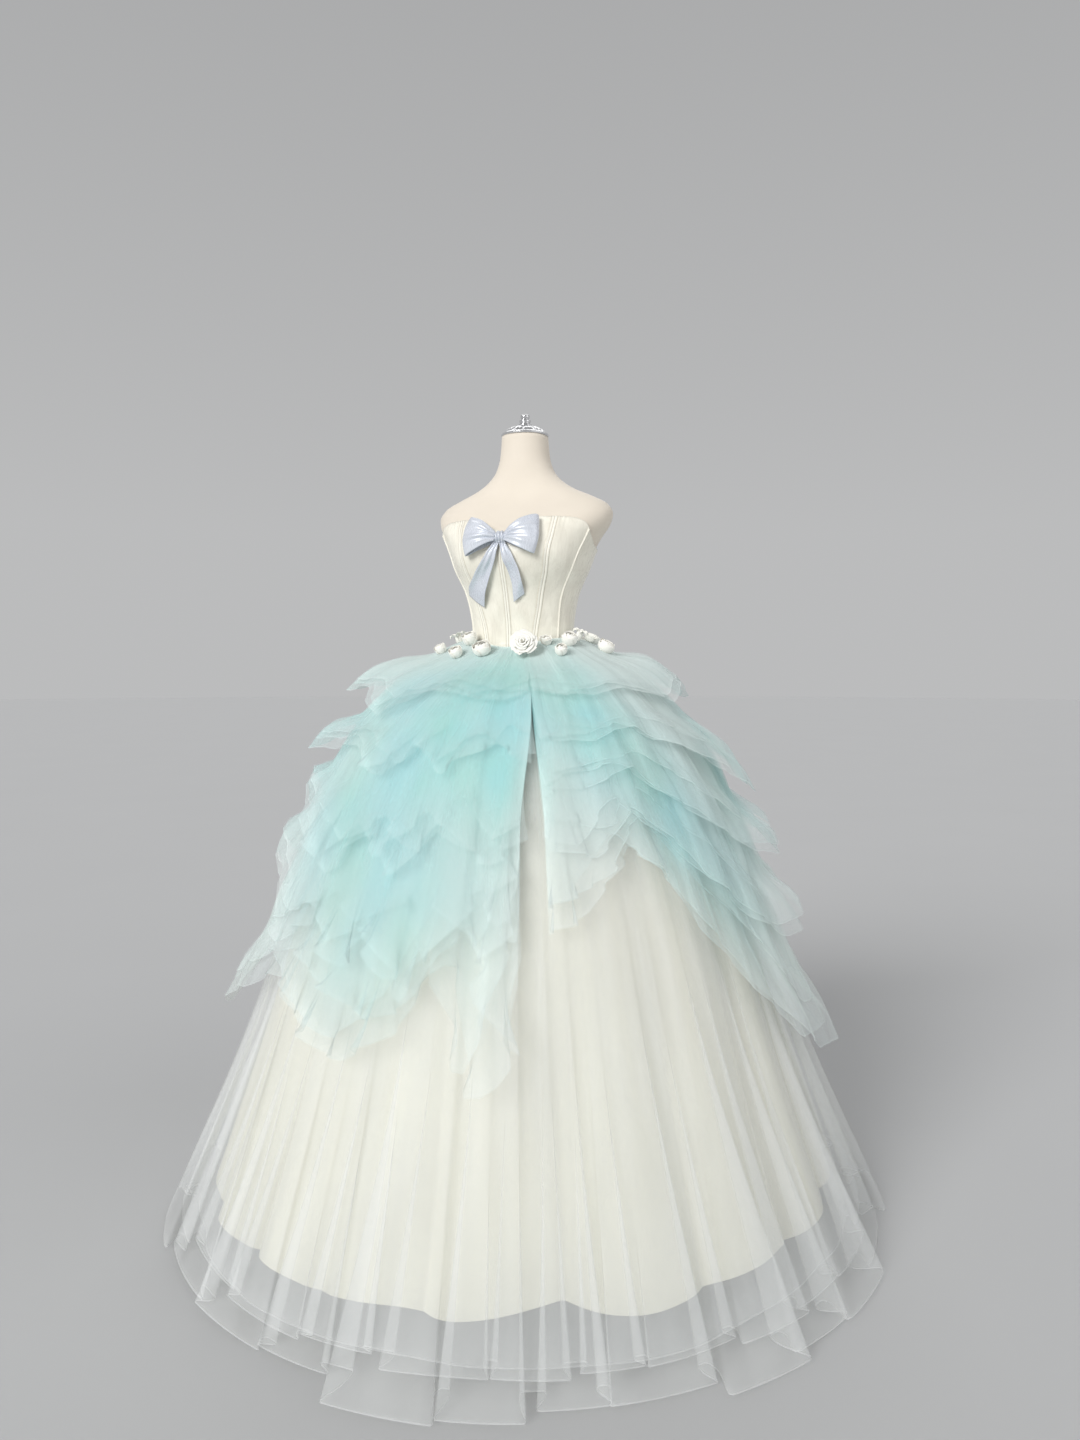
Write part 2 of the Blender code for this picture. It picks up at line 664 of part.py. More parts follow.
def build_skirts(collection, satin, tulle):
    def satin_point(angle, level):
        spot = row_share(level, satin_hem(angle))
        wave = SATIN_WAVE_DEPTH * satin_wave(angle, spot)
        return skirt_point(angle, spot, read_table(LAYERS, spot, "satin") + wave)

    def middle_point(angle, level):
        spot = row_share(level, MIDDLE_HEM)
        wave = MIDDLE_WAVE_DEPTH * satin_wave(angle, spot)
        return skirt_point(angle, spot, read_table(LAYERS, spot, "middle") + wave)

    def outer_point(angle, level):
        spot = row_share(level, 1 - HEM_CLEARANCE / WAIST_BACK)
        return skirt_point(angle, spot, read_table(LAYERS, spot, "outer"), fold_depth)

    def even_angles(start, count):
        return [2 * pi * i / SATIN_COLUMNS for i in range(start, start + count + 2)]

    for word, start in SATIN_GORES:
        rows = panel_rows(even_angles(start, GORE_COLUMNS), INNER_ROWS, satin_point)
        add_wall(f"satin_skirt_{word}", rows, SATIN_WALL, satin, collection)
    for word, start in MIDDLE_WIDTHS:
        rows = panel_rows(even_angles(start, WIDTH_COLUMNS), INNER_ROWS, middle_point)
        add_wall(f"middle_tulle_{word}", rows, TULLE_WALL, tulle, collection)

    for i, (word, start) in enumerate(OUTER_WIDTHS):
        end = OUTER_WIDTHS[(i + 1) % len(OUTER_WIDTHS)][1]
        count = (end - start) % len(FOLDS)
        folds = [FOLDS[(start + n) % len(FOLDS)] for n in range(-1, count + 1)]
        angles = []
        for fold in folds:
            angle = fold.angle
            while angles and angle < angles[-1]:
                angle += 360
            angles += [angle - fold.half, angle - fold.crest, angle + fold.crest, angle + fold.half]
        angles = [radians(a) for a in angles[3:-3]]
        rows = panel_rows(angles, FULL_ROWS, outer_point)
        add_wall(f"outer_tulle_{word}", rows, TULLE_WALL, tulle, collection, smooth_from=4)


def tier_angles(tier, half):
    corners = [corner.angle for corner in sorted(TIERS[tier][half])]
    angles = [corners[0]]
    for low, high in zip(corners, corners[1:]):
        parts = ceil((high - low) / TIER_STEP)
        angles += [low + (high - low) * (i + 1) / parts for i in range(parts)]
    return [radians(angle) for angle in angles]


# How far an edge of a half tier stands back from the slit or from the back seam.
def edge_setback(half, at_start, share):
    setback = SEAM_GAP / 2 / skirt_radius(SLIT_ANGLE, share)
    if at_start == (half == "left"):
        setback += SLIT_OPENING * ease((share - SLIT_FROM) / SLIT_LENGTH)
    return setback if at_start else -setback


def build_tiers(collection, tulle):
    for tier in TIER_ORDER:
        upper, count = TIER_ROWS[tier]
        top = upper[-1]
        levels = upper + tuple(top + (1 - top) * (i + 1) / count for i in range(count))
        for half in ("left", "right"):
            angles = tier_angles(tier, half)
            rows = []
            for level in levels:
                row = []
                for i, angle in enumerate(angles):
                    share = row_share(level, tier_hem(tier, half, angle), top)
                    if i in (0, len(angles) - 1):
                        angle += edge_setback(half, i == 0, share)
                    row.append(tier_point(tier, half, angle, share))
                rows.append(row)
            add_wall(f"overlay_{tier}_{half}", rows[::-1], TULLE_WALL, tulle, collection)


# ---------------------------------------------------------------- bow
KNOT_HEIGHT = 1.353
KNOT_SIZE = Vector((0.0216, 0.0150, 0.0240))
KNOT_SEAT = -0.0005
RIBBON_WALL = 0.0010
LoopRow = namedtuple("LoopRow", "reach outward half rise")
LOOP = [
    LoopRow(0.0112, 0.0120, 0.0085, 0.0000),
    LoopRow(0.0240, 0.0180, 0.0150, 0.0005),
    LoopRow(0.0400, 0.0205, 0.0225, 0.0010),
    LoopRow(0.0560, 0.0190, 0.0285, 0.0010),
    LoopRow(0.0665, 0.0150, 0.0325, 0.0010),
    LoopRow(0.0700, 0.0095, 0.0335, 0.0010),
    LoopRow(0.0670, 0.0045, 0.0325, 0.0010),
    LoopRow(0.0540, 0.0022, 0.0270, 0.0010),
    LoopRow(0.0340, 0.0012, 0.0190, 0.0005),
    LoopRow(0.0112, 0.0012, 0.0085, 0.0000),
]
LOOP_ACROSS = (-1.0, -0.5, 0.0, 0.5, 1.0)
LOOP_PUFF = 0.004
LOOP_REACH = 0.0700
LOOP_CORNER = 0.0060
LOOP_LEAN = {"left": 0.0020, "right": 0.0015}
TailRow = namedtuple("TailRow", "drop reach half outward")
TAILS = {
    "left": [
        TailRow(0.0126, 0.0060, 0.0055, 0.0035),
        TailRow(0.0360, 0.0180, 0.0110, 0.0050),
        TailRow(0.0600, 0.0250, 0.0118, 0.0022),
        TailRow(0.0880, 0.0280, 0.0105, 0.0036),
        TailRow(0.1140, 0.0275, 0.0110, 0.0010),
    ],
    "right": [
        TailRow(0.0126, -0.0060, 0.0055, 0.0035),
        TailRow(0.0360, -0.0210, 0.0125, 0.0060),
        TailRow(0.0640, -0.0390, 0.0165, 0.0030),
        TailRow(0.0920, -0.0550, 0.0185, 0.0042),
        TailRow(0.1180, -0.0660, 0.0195, 0.0010),
    ],
}
TAIL_ACROSS = (-1.0, -0.4, 0.3, 1.0)
TAIL_CUT = {"left": 0.008, "right": -0.013}
TAIL_CURL = 0.0015


# A spot over the bodice's front: how far round it, how high, and how far off its raised strips.
def over_bodice(reach, height, outward):
    angle = reach / torso_radius(0.0, height)
    return torso_point(angle, height, BODICE_EASE + BODICE_WALL + outward)


def build_bow(collection, ribbon):
    for side, word in ((1, "left"), (-1, "right")):
        rows = []
        for across in LOOP_ACROSS:
            row = []
            for i, spot in enumerate(LOOP):
                front = i < len(LOOP) / 2 - 1
                puff = LOOP_PUFF * (1 - across * across) * sin(pi * (i + 0.5) / 5) if front else 0
                height = KNOT_HEIGHT + spot.rise + across * spot.half
                out = (spot.reach / LOOP_REACH) ** 2
                height += LOOP_LEAN[word] * out
                reach = spot.reach - LOOP_CORNER * out * across * across
                row.append(over_bodice(side * reach, height, spot.outward + puff))
            rows.append(row if side > 0 else row[::-1])
        add_wall(f"bow_loop_{word}", rows, RIBBON_WALL, ribbon, collection, grow=-1.0)

        rows = []
        for spot in TAILS[word]:
            row = []
            for across in TAIL_ACROSS:
                fall = spot.drop - across * TAIL_CUT[word] * ease((spot.drop - 0.06) / 0.06)
                outward = spot.outward + TAIL_CURL * across * across
                reach = spot.reach + across * spot.half
                row.append(over_bodice(reach, KNOT_HEIGHT - fall, outward))
            rows.append(row)
        add_wall(f"bow_tail_{word}", rows[::-1], RIBBON_WALL, ribbon, collection)

    mesh = bpy.data.meshes.new("bow_knot")
    work = bmesh.new()
    bmesh.ops.create_cube(work, size=1.0, matrix=Matrix.Diagonal(KNOT_SIZE.to_4d()))
    work.to_mesh(mesh)
    work.free()
    knot = add_object("bow_knot", mesh, ribbon, collection)
    back = over_bodice(0.0, KNOT_HEIGHT, KNOT_SEAT)
    outward = (over_bodice(0.0, KNOT_HEIGHT, 1.0) - back).normalized()
    knot.location = back + outward * KNOT_SIZE.y / 2
    knot.rotation_euler.x = -atan2(outward.z, -outward.y)
    rounding = knot.modifiers.new("rounded", "BEVEL")
    rounding.width = 0.004
    rounding.segments = 2


# ---------------------------------------------------------------- waist flowers
Flower = namedtuple("Flower", "angle share radius height tilt")
FLOWERS = [
    Flower(23, 0.0150, 0.0290, 0.031, 38),
    Flower(43, 0.0070, 0.0110, 0.014, 0),
    Flower(47, 0.0260, 0.0125, 0.016, 0),
    Flower(61, 0.0110, 0.0165, 0.019, 0),
    Flower(79, 0.0055, 0.0150, 0.022, 0),
    Flower(86, 0.0250, 0.0180, 0.018, 0),
    Flower(109, 0.0100, 0.0175, 0.018, 0),
    Flower(137, 0.0130, 0.0160, 0.018, 0),
    Flower(164, 0.0080, 0.0190, 0.018, 0),
    Flower(193, 0.0130, 0.0160, 0.019, 0),
    Flower(221, 0.0080, 0.0180, 0.017, 0),
    Flower(250, 0.0120, 0.0165, 0.018, 0),
    Flower(277, 0.0080, 0.0170, 0.020, 0),
    Flower(-57, 0.0250, 0.0125, 0.015, 0),
    Flower(-44, 0.0055, 0.0155, 0.019, 0),
    Flower(-35, 0.0260, 0.0140, 0.016, 0),
    Flower(-17, 0.0150, 0.0195, 0.019, 0),
]
PETALS = 5
PETAL_SWELL = 0.10
BELLY = 0.2
SEAT_CURVE = 0.17


# A spot on the flat faces of the outermost tier near the waist, and the way those faces look.
def on_top_tier(angle, share):
    past_slit = (angle - SLIT_ANGLE) % (2 * pi)
    half = "left" if past_slit < pi else "right"
    angle = SLIT_ANGLE + past_slit - (0 if half == "left" else 2 * pi)
    columns = tier_angles("fifth", half)
    rows = TIER_ROWS["fifth"].upper
    start, end = next(pair for pair in zip(columns, columns[1:]) if angle <= pair[1])
    high, low = next(pair for pair in zip(rows, rows[1:]) if share <= pair[1])
    across = (angle - start) / (end - start)
    upper = [tier_point("fifth", half, side, high) for side in (start, end)]
    lower = [tier_point("fifth", half, side, low) for side in (start, end)]
    top, bottom = upper[0].lerp(upper[1], across), lower[0].lerp(lower[1], across)
    outward = (upper[1] - upper[0]).cross(top - bottom).normalized()
    return top.lerp(bottom, (share - high) / (low - high)) + outward * TULLE_WALL, outward


def build_flowers(collection, fabric):
    for number, flower in enumerate(FLOWERS, start=1):
        name = f"waist_flower_{number:02d}"
        mesh = bpy.data.meshes.new(name)
        work = bmesh.new()
        bmesh.ops.create_uvsphere(work, u_segments=10, v_segments=5, radius=1.0)
        for vertex in work.verts:
            x, y, z = vertex.co
            petal = 1 + PETAL_SWELL * sin(PETALS * atan2(y, x) + 2.5 * z) * hypot(x, y)
            rise = z * (1 - BELLY) if z > 0 else z * BELLY
            vertex.co = Vector((
                x * petal * flower.radius,
                y * petal * flower.radius,
                (rise + BELLY) * flower.height,
            ))
        work.to_mesh(mesh)
        work.free()
        piece = add_object(name, mesh, fabric, collection)

        angle = radians(flower.angle)
        seat, outward = on_top_tier(angle, flower.share)
        tilt = radians(flower.tilt)
        turn = Matrix.Rotation(tilt, 3, Vector((cos(angle), sin(angle), 0.0)))
        facing = turn @ outward
        rim = flower.radius * (1 + PETAL_SWELL / 2)
        rim_drop = rim * sin(tilt) - BELLY * flower.height * cos(tilt)
        rim_drop -= (rim * cos(tilt)) ** 2 / (2 * SEAT_CURVE)
        piece.location = seat + outward * (SEAM_GAP + max(rim_drop, 0.0))
        piece.rotation_euler = facing.to_track_quat("Z", "Y").to_euler()


def build_gown():
    for piece in list(bpy.data.objects):
        bpy.data.objects.remove(piece, do_unlink=True)
    gown = make_collection("ball_gown")
    skin = make_material("form cover", (0.86, 0.81, 0.75), 0.55)
    chrome = make_material("chrome", (0.78, 0.79, 0.80), 0.15, 1.0)
    steel = make_material("painted steel", (0.75, 0.75, 0.74), 0.40)
    satin = make_material("ivory satin", (0.86, 0.85, 0.74), 0.35)
    white_tulle = make_material("white tulle", (0.88, 0.90, 0.90), 0.80)
    aqua_tulle = make_material("aqua tulle", (0.52, 0.82, 0.80), 0.80)
    ribbon = make_material("silver blue satin", (0.60, 0.64, 0.80), 0.28)
    fabric = make_material("white rose fabric", (0.90, 0.91, 0.88), 0.60)
    build_form(gown, skin, chrome, steel)
    build_bodice(gown, satin)
    build_skirts(gown, satin, white_tulle)
    build_tiers(gown, aqua_tulle)
    build_bow(gown, ribbon)
    build_flowers(gown, fabric)


build_gown()
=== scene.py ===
# Ball gown of ivory satin and dyed tulle on a limbless dress form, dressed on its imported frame.
# Metres, +Z up, the form faces -Y. Angles run round +Z from the front towards the wearer's left.
from math import cos, pi, radians, sin

import bmesh
import bpy
import numpy as np
from mathutils import Matrix, Vector


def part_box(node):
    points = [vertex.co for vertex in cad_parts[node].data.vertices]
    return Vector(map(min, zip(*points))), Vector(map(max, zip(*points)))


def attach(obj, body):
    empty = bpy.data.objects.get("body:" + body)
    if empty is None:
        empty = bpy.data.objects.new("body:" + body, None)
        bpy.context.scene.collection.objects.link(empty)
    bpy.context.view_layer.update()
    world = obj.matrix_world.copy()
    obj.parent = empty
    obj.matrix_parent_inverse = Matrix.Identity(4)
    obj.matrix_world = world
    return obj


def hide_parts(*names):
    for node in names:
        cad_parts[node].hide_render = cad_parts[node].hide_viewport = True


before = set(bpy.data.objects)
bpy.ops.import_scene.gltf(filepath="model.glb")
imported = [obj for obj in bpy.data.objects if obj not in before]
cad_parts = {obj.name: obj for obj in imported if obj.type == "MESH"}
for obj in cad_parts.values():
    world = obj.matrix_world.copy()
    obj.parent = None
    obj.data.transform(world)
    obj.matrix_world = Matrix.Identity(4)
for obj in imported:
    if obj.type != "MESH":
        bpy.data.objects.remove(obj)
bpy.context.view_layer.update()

scene = bpy.context.scene
dressing = bpy.data.collections.new("gownDressing")
scene.collection.children.link(dressing)


# small helpers for shapes
def ease(x):  # 0 to 1, soft at both ends
    x = np.clip(x, 0.0, 1.0)
    return x * x * (3 - 2 * x)


def hump(x):  # 1 at 0, fading to both sides
    return np.exp(-(x ** 2))


def turnBetween(a, b):
    return (a - b + pi) % (2 * pi) - pi


def readCurve(spots, values, at):  # smooth, with no overshoot between neighbours
    spots, values = np.asarray(spots, float), np.asarray(values, float)
    step = np.diff(spots)
    slope = np.diff(values) / step
    before, after = slope[:-1], slope[1:]
    turning = before * after <= 0
    inner = np.where(turning, 0.0, 2 * before * after / np.where(turning, 1.0, before + after))
    tangent = np.concatenate([slope[:1], inner, slope[-1:]])
    at = np.clip(at, spots[0], spots[-1])
    i = np.clip(np.searchsorted(spots, at, "right") - 1, 0, len(step) - 1)
    t = (at - spots[i]) / step[i]
    rise = step[i] * (tangent[i] * t * (1 - t) ** 2 - tangent[i + 1] * t * t * (1 - t))
    blend = t * t * (3 - 2 * t)
    return values[i] * (1 - blend) + values[i + 1] * blend + rise


def softNoise(seed, across, along, around=64):  # -1 to 1, closes on itself after "around" cells
    lattice = np.random.default_rng(seed).uniform(-1, 1, (64, 64))
    i, j = np.floor(across).astype(int), np.floor(along).astype(int)
    u, v = ease(across - i), ease(along - j)

    def knot(di, dj):
        return lattice[(i + di) % around, (j + dj) % 64]

    low = knot(0, 0) * (1 - u) + knot(1, 0) * u
    high = knot(0, 1) * (1 - u) + knot(1, 1) * u
    return low * (1 - v) + high * v


def ringNoise(seed, cells, angle, along=0.0):  # the same, with so many cells once round the skirt
    return softNoise(seed, angle * (cells / 2) / pi, along, cells)


def ridge(phase, sharpness=3):  # 0 to 1, a narrow crest once a turn
    return (0.5 + 0.5 * np.cos(phase)) ** sharpness


def patchMesh(name, patches, marks=None, closed=False):  # each patch is rows x columns x 3
    points, faces, start = [], [], 0
    for patch in patches:
        rows, columns = patch.shape[:2]
        number = np.arange(start, start + rows * columns).reshape(rows, columns)
        if closed:
            number = np.hstack([number, number[:, :1]])
        corners = [number[:-1, :-1], number[1:, :-1], number[1:, 1:], number[:-1, 1:]]
        faces += np.stack(corners, axis=-1).reshape(-1, 4).tolist()
        points += patch.reshape(-1, 3).tolist()
        start += rows * columns
    mesh = bpy.data.meshes.new(name)
    mesh.from_pydata(points, [], faces)
    for mark, values in (marks or {}).items():
        flat = np.asarray(values, np.float32).ravel()
        mesh.attributes.new(mark, "FLOAT", "POINT").data.foreach_set("value", flat)
    return mesh


def nodeName(pieceName):  # bodiceFrontLeft stands for the solid bodice_front_left
    return "".join("_" + c.lower() if c.isupper() else c for c in pieceName)


def addPiece(name, mesh, material, replaced=(), wall=0.0):
    mesh.materials.append(material)
    mesh.shade_smooth()
    piece = bpy.data.objects.new(name, mesh)
    dressing.objects.link(piece)
    if wall:
        piece.modifiers.new("cloth wall", "SOLIDIFY").thickness = wall  # inwards from the face
    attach(piece, "root")
    if replaced:
        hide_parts(*replaced)
    return piece


# small helpers for finishes
def addNode(tree, kind, inputs=(), **options):
    node = tree.nodes.new("ShaderNode" + kind)
    for option, value in options.items():
        setattr(node, option, value)
    for socket, value in dict(inputs).items():
        if isinstance(value, bpy.types.NodeSocket):
            tree.links.new(value, node.inputs[socket])
        else:
            node.inputs[socket].default_value = value
    return node


def mixColour(tree, factor, first, second):
    sockets = {0: factor, 6: first, 7: second}
    return addNode(tree, "Mix", sockets, data_type="RGBA").outputs[2]


def calculate(tree, operation, first, second=0.0, third=0.0):
    sockets = {0: first, 1: second, 2: third}
    return addNode(tree, "Math", sockets, operation=operation).outputs[0]


def spreadOut(tree, value, low, high):  # 0 at low, 1 at high
    return addNode(tree, "MapRange", {"Value": value, "From Min": low, "From Max": high}).outputs[0]


def readMark(tree, name):
    return addNode(tree, "Attribute", attribute_name=name).outputs["Fac"]


def noiseIn(tree, size, stretch=(1, 1, 1), detail=2.0):
    place = addNode(tree, "TexCoord").outputs["Object"]
    place = addNode(tree, "Mapping", {"Vector": place, "Scale": stretch}).outputs[0]
    sockets = {"Vector": place, "Scale": 1 / size, "Detail": detail}
    return addNode(tree, "TexNoise", sockets).outputs["Fac"]


def socketOf(shader, word):  # baseColor finds the socket named Base Color
    return next(s for s in shader.inputs if s.name.replace(" ", "").lower() == word.lower())


def newFinish(name, **sockets):
    material = bpy.data.materials.new(name)
    material.use_nodes = True
    shader = material.node_tree.nodes["Principled BSDF"]
    for word, value in sockets.items():
        socketOf(shader, word).default_value = value
    return material, material.node_tree, shader


def linkTo(tree, shader, **sockets):
    for word, value in sockets.items():
        tree.links.new(value, socketOf(shader, word))


def addBump(tree, shader, height, depth, strength):
    sockets = {"Height": height, "Distance": depth, "Strength": strength}
    linkTo(tree, shader, normal=addNode(tree, "Bump", sockets).outputs[0])


def paintPatches(tree, shader, look, detail=2.0):  # two close tones in soft patches
    tone = noiseIn(tree, look["patch"], detail=detail)
    linkTo(tree, shader, baseColor=mixColour(tree, tone, look["light"], look["deep"]))
    return tone


# finishes
satinLook = {
    "bodice": {"light": (0.95, 0.915, 0.80, 1), "deep": (0.80, 0.76, 0.655, 1), "patch": 0.03,
               "slub": 0.004, "roughness": 0.28},
    "skirt": {"light": (0.89, 0.86, 0.71, 1), "deep": (0.82, 0.79, 0.645, 1), "patch": 0.12,
              "slub": 0.06, "roughness": 0.23},
    # painted light and shade: the channel colour paints the padded channels lighter as if they caught more
    # light, the groove colour paints the seams and stitch lines darker as shade
    "channel": (0.98, 0.95, 0.85, 1), "groove": (0.66, 0.61, 0.50, 1), "patchEnds": (0.3, 0.7),
    "patchLong": (1, 1, 0.45), "slubLong": (1, 1, 0.08), "slubRough": 0.10, "slubDepth": 0.04,
}


def makeSatin(name, cloth, channels=False):
    material, tree, shader = newFinish(name, sheenWeight=0.12, sheenRoughness=0.4)
    patch = noiseIn(tree, cloth["patch"], satinLook["patchLong"], 3.0)
    patch = spreadOut(tree, patch, *satinLook["patchEnds"])
    colour = mixColour(tree, patch, cloth["light"], cloth["deep"])
    if channels:  # painted light and shade: the padded channels are painted lighter, as if catching more light, and their seams painted darker as shade
        # painted highlight: lighter colour on the padded channels
        colour = mixColour(tree, readMark(tree, "strip"), colour, satinLook["channel"])
        # painted shade: darker colour along the seams and beside the stitch lines
        colour = mixColour(tree, readMark(tree, "groove"), colour, satinLook["groove"])
    slubs = noiseIn(tree, cloth["slub"], satinLook["slubLong"])
    smoothest = cloth["roughness"] - satinLook["slubRough"] / 2
    rough = calculate(tree, "MULTIPLY_ADD", slubs, satinLook["slubRough"], smoothest)
    linkTo(tree, shader, baseColor=colour, roughness=rough)
    addBump(tree, shader, slubs, cloth["slub"] * satinLook["slubDepth"], 0.35)
    return material


ribbonLook = {
    "light": (0.74, 0.765, 0.81, 1), "deep": (0.60, 0.635, 0.715, 1), "patch": 0.03,
    "thread": 0.0012, "threadLong": (1, 1, 0.08), "threadDepth": 0.0001, "roughness": (0.14, 0.20),
}


def makeRibbonSatin():
    material, tree, shader = newFinish(
        "ribbonSatin", specularIORLevel=0.8, sheenWeight=0.1, sheenRoughness=0.35, metallic=0.12)
    paintPatches(tree, shader, ribbonLook)
    threads = noiseIn(tree, ribbonLook["thread"], ribbonLook["threadLong"], 1.0)
    linkTo(tree, shader, roughness=calculate(tree, "MULTIPLY_ADD", threads, *ribbonLook["roughness"]))
    addBump(tree, shader, threads, ribbonLook["threadDepth"], 0.4)
    return material


tulleLook = {
    "white": ((0.85, 0.87, 0.865, 1), (0.88, 0.90, 0.89, 1)), "pale": (0.84, 0.93, 0.91, 1),
    "aqua": (0.50, 0.91, 0.89, 1), "blue": (0.58, 0.86, 0.93, 1), "green": (0.60, 0.89, 0.81, 1),
    "aquaShare": 0.55, "hueSize": 0.16, "hueEnds": (0.38, 0.62), "blotch": 0.05, "whiteSize": 0.12,
    "netPitch": 0.0016, "threadCover": 0.18, "holeCover": 0.84, "mostCover": 0.92,
    "pleatWide": 0.055, "pleatLong": 0.24, "pleatCover": (0.8, 0.6),
    "cover": {"outerTulle": 0.215, "middleTulle": 0.22, "dyedTulle": 0.29},
    "edgeCover": {"outerTulle": 0.16, "middleTulle": 0.16, "dyedTulle": 0.24},
}


def dyedColour(tree):  # blue and green runs of dye in aqua, over pale net
    hue = spreadOut(tree, noiseIn(tree, tulleLook["hueSize"], (1, 1, 0.5)), *tulleLook["hueEnds"])
    cold = mixColour(tree, hue, tulleLook["blue"], tulleLook["green"])
    full = mixColour(tree, tulleLook["aquaShare"], cold, tulleLook["aqua"])
    blotch = noiseIn(tree, tulleLook["blotch"], (1, 1, 0.4), 3.0)
    strength = calculate(tree, "MULTIPLY_ADD", blotch, 0.5, 0.75)
    strength = calculate(tree, "MULTIPLY", readMark(tree, "dye"), strength)
    return mixColour(tree, strength, tulleLook["pale"], full)


def netThreads(tree):  # crossing threads, from the cloth's own across and along
    waves = []
    for mark in ("across", "along"):
        phase = calculate(tree, "MULTIPLY", readMark(tree, mark), 2 * pi / tulleLook["netPitch"])
        waves.append(calculate(tree, "MULTIPLY_ADD", calculate(tree, "SINE", phase), 0.5, 0.5))
    return calculate(tree, "MAXIMUM", *waves)


def smallPleats(tree):  # they lie double and cover more
    spot = addNode(tree, "CombineXYZ", {
        0: calculate(tree, "DIVIDE", readMark(tree, "across"), tulleLook["pleatWide"]),
        1: calculate(tree, "DIVIDE", readMark(tree, "along"), tulleLook["pleatLong"]),
    }).outputs[0]
    pleat = addNode(tree, "TexNoise", {"Vector": spot, "Scale": 1.0, "Detail": 1.0}).outputs["Fac"]
    return calculate(tree, "MULTIPLY_ADD", pleat, *tulleLook["pleatCover"])


def makeTulle(name):
    material, tree, shader = newFinish(
        name, roughness=0.75, specularIORLevel=0.25, sheenWeight=0.15, sheenRoughness=0.45)
    if name == "dyedTulle":
        colour = dyedColour(tree)
    else:
        tone = noiseIn(tree, tulleLook["whiteSize"], (1, 1, 0.3))
        colour = mixColour(tree, tone, *tulleLook["white"])
    cover = tulleLook["cover"][name]
    net = calculate(tree, "MULTIPLY_ADD", netThreads(tree), cover * tulleLook["threadCover"],
                    cover * tulleLook["holeCover"])
    net = calculate(tree, "MULTIPLY", net, readMark(tree, "full"))
    net = calculate(tree, "MULTIPLY", net, smallPleats(tree))
    net = calculate(tree, "MULTIPLY_ADD", readMark(tree, "edge"), tulleLook["edgeCover"][name], net)
    net = calculate(tree, "MINIMUM", net, tulleLook["mostCover"])
    linkTo(tree, shader, baseColor=colour, alpha=net)
    return material


formLook = {
    "light": (0.80, 0.725, 0.62, 1), "deep": (0.755, 0.68, 0.575, 1), "patch": 0.05,
    "knit": 0.0011, "knitDepth": 0.0004,
}
roseLook = {
    "light": (0.96, 0.945, 0.885, 1), "deep": (0.92, 0.905, 0.845, 1), "patch": 0.01,
    "weave": 0.0016, "weaveDepth": 0.0003,
}
smoothLook = {  # colour, roughness, metallic
    "chromeFinish": ((0.80, 0.80, 0.81, 1), 0.2, 1.0),
    "paintedSteel": ((0.72, 0.72, 0.71, 1), 0.42, 0.0),
    "seamThread": ((0.80, 0.78, 0.68, 1), 0.5, 0.0),
    "smudge": 0.012, "smudgeTone": 0.86, "smudgeRough": 0.12, "smudgeDepth": 0.0002,
}


def makeFormCover():
    material, tree, shader = newFinish("formCover", roughness=0.72, sheenWeight=0.2)
    paintPatches(tree, shader, formLook)
    knit = noiseIn(tree, formLook["knit"], (1, 1, 0.6), 1.0)
    addBump(tree, shader, knit, formLook["knitDepth"], 0.35)
    return material


def makeRoseFabric():
    material, tree, shader = newFinish(
        "roseFabric", roughness=0.6, sheenWeight=0.3, sheenRoughness=0.4, specularIORLevel=0.3)
    paintPatches(tree, shader, roseLook, detail=3.0)
    addBump(tree, shader, noiseIn(tree, roseLook["weave"]), roseLook["weaveDepth"], 0.4)
    return material


def dimmed(colour, share):
    return tuple(c * share for c in colour[:3]) + (1,)


def makeSmooth(name):  # metal, paint or thread, a little smudged
    colour, roughness, metallic = smoothLook[name]
    material, tree, shader = newFinish(name, metallic=metallic)
    look = {"patch": smoothLook["smudge"], "light": colour,
            "deep": dimmed(colour, smoothLook["smudgeTone"])}
    smudge = paintPatches(tree, shader, look, detail=4.0)
    smoothest = roughness - smoothLook["smudgeRough"] / 2
    rough = calculate(tree, "MULTIPLY_ADD", smudge, smoothLook["smudgeRough"], smoothest)
    linkTo(tree, shader, roughness=rough)
    addBump(tree, shader, smudge, smoothLook["smudgeDepth"], 0.2)
    return material


finish = {
    "bodice": makeSatin("ivoryBodiceSatin", satinLook["bodice"], channels=True),
    "satin": makeSatin("ivorySkirtSatin", satinLook["skirt"]),
    "ribbon": makeRibbonSatin(),
    "outerTulle": makeTulle("outerTulle"),
    "middleTulle": makeTulle("middleTulle"),
    "dyedTulle": makeTulle("dyedTulle"),
    "form": makeFormCover(),
    "chrome": makeSmooth("chromeFinish"),
    "steel": makeSmooth("paintedSteel"),
    "rose": makeRoseFabric(),
    "thread": makeSmooth("seamThread"),
}
print("finishes made")


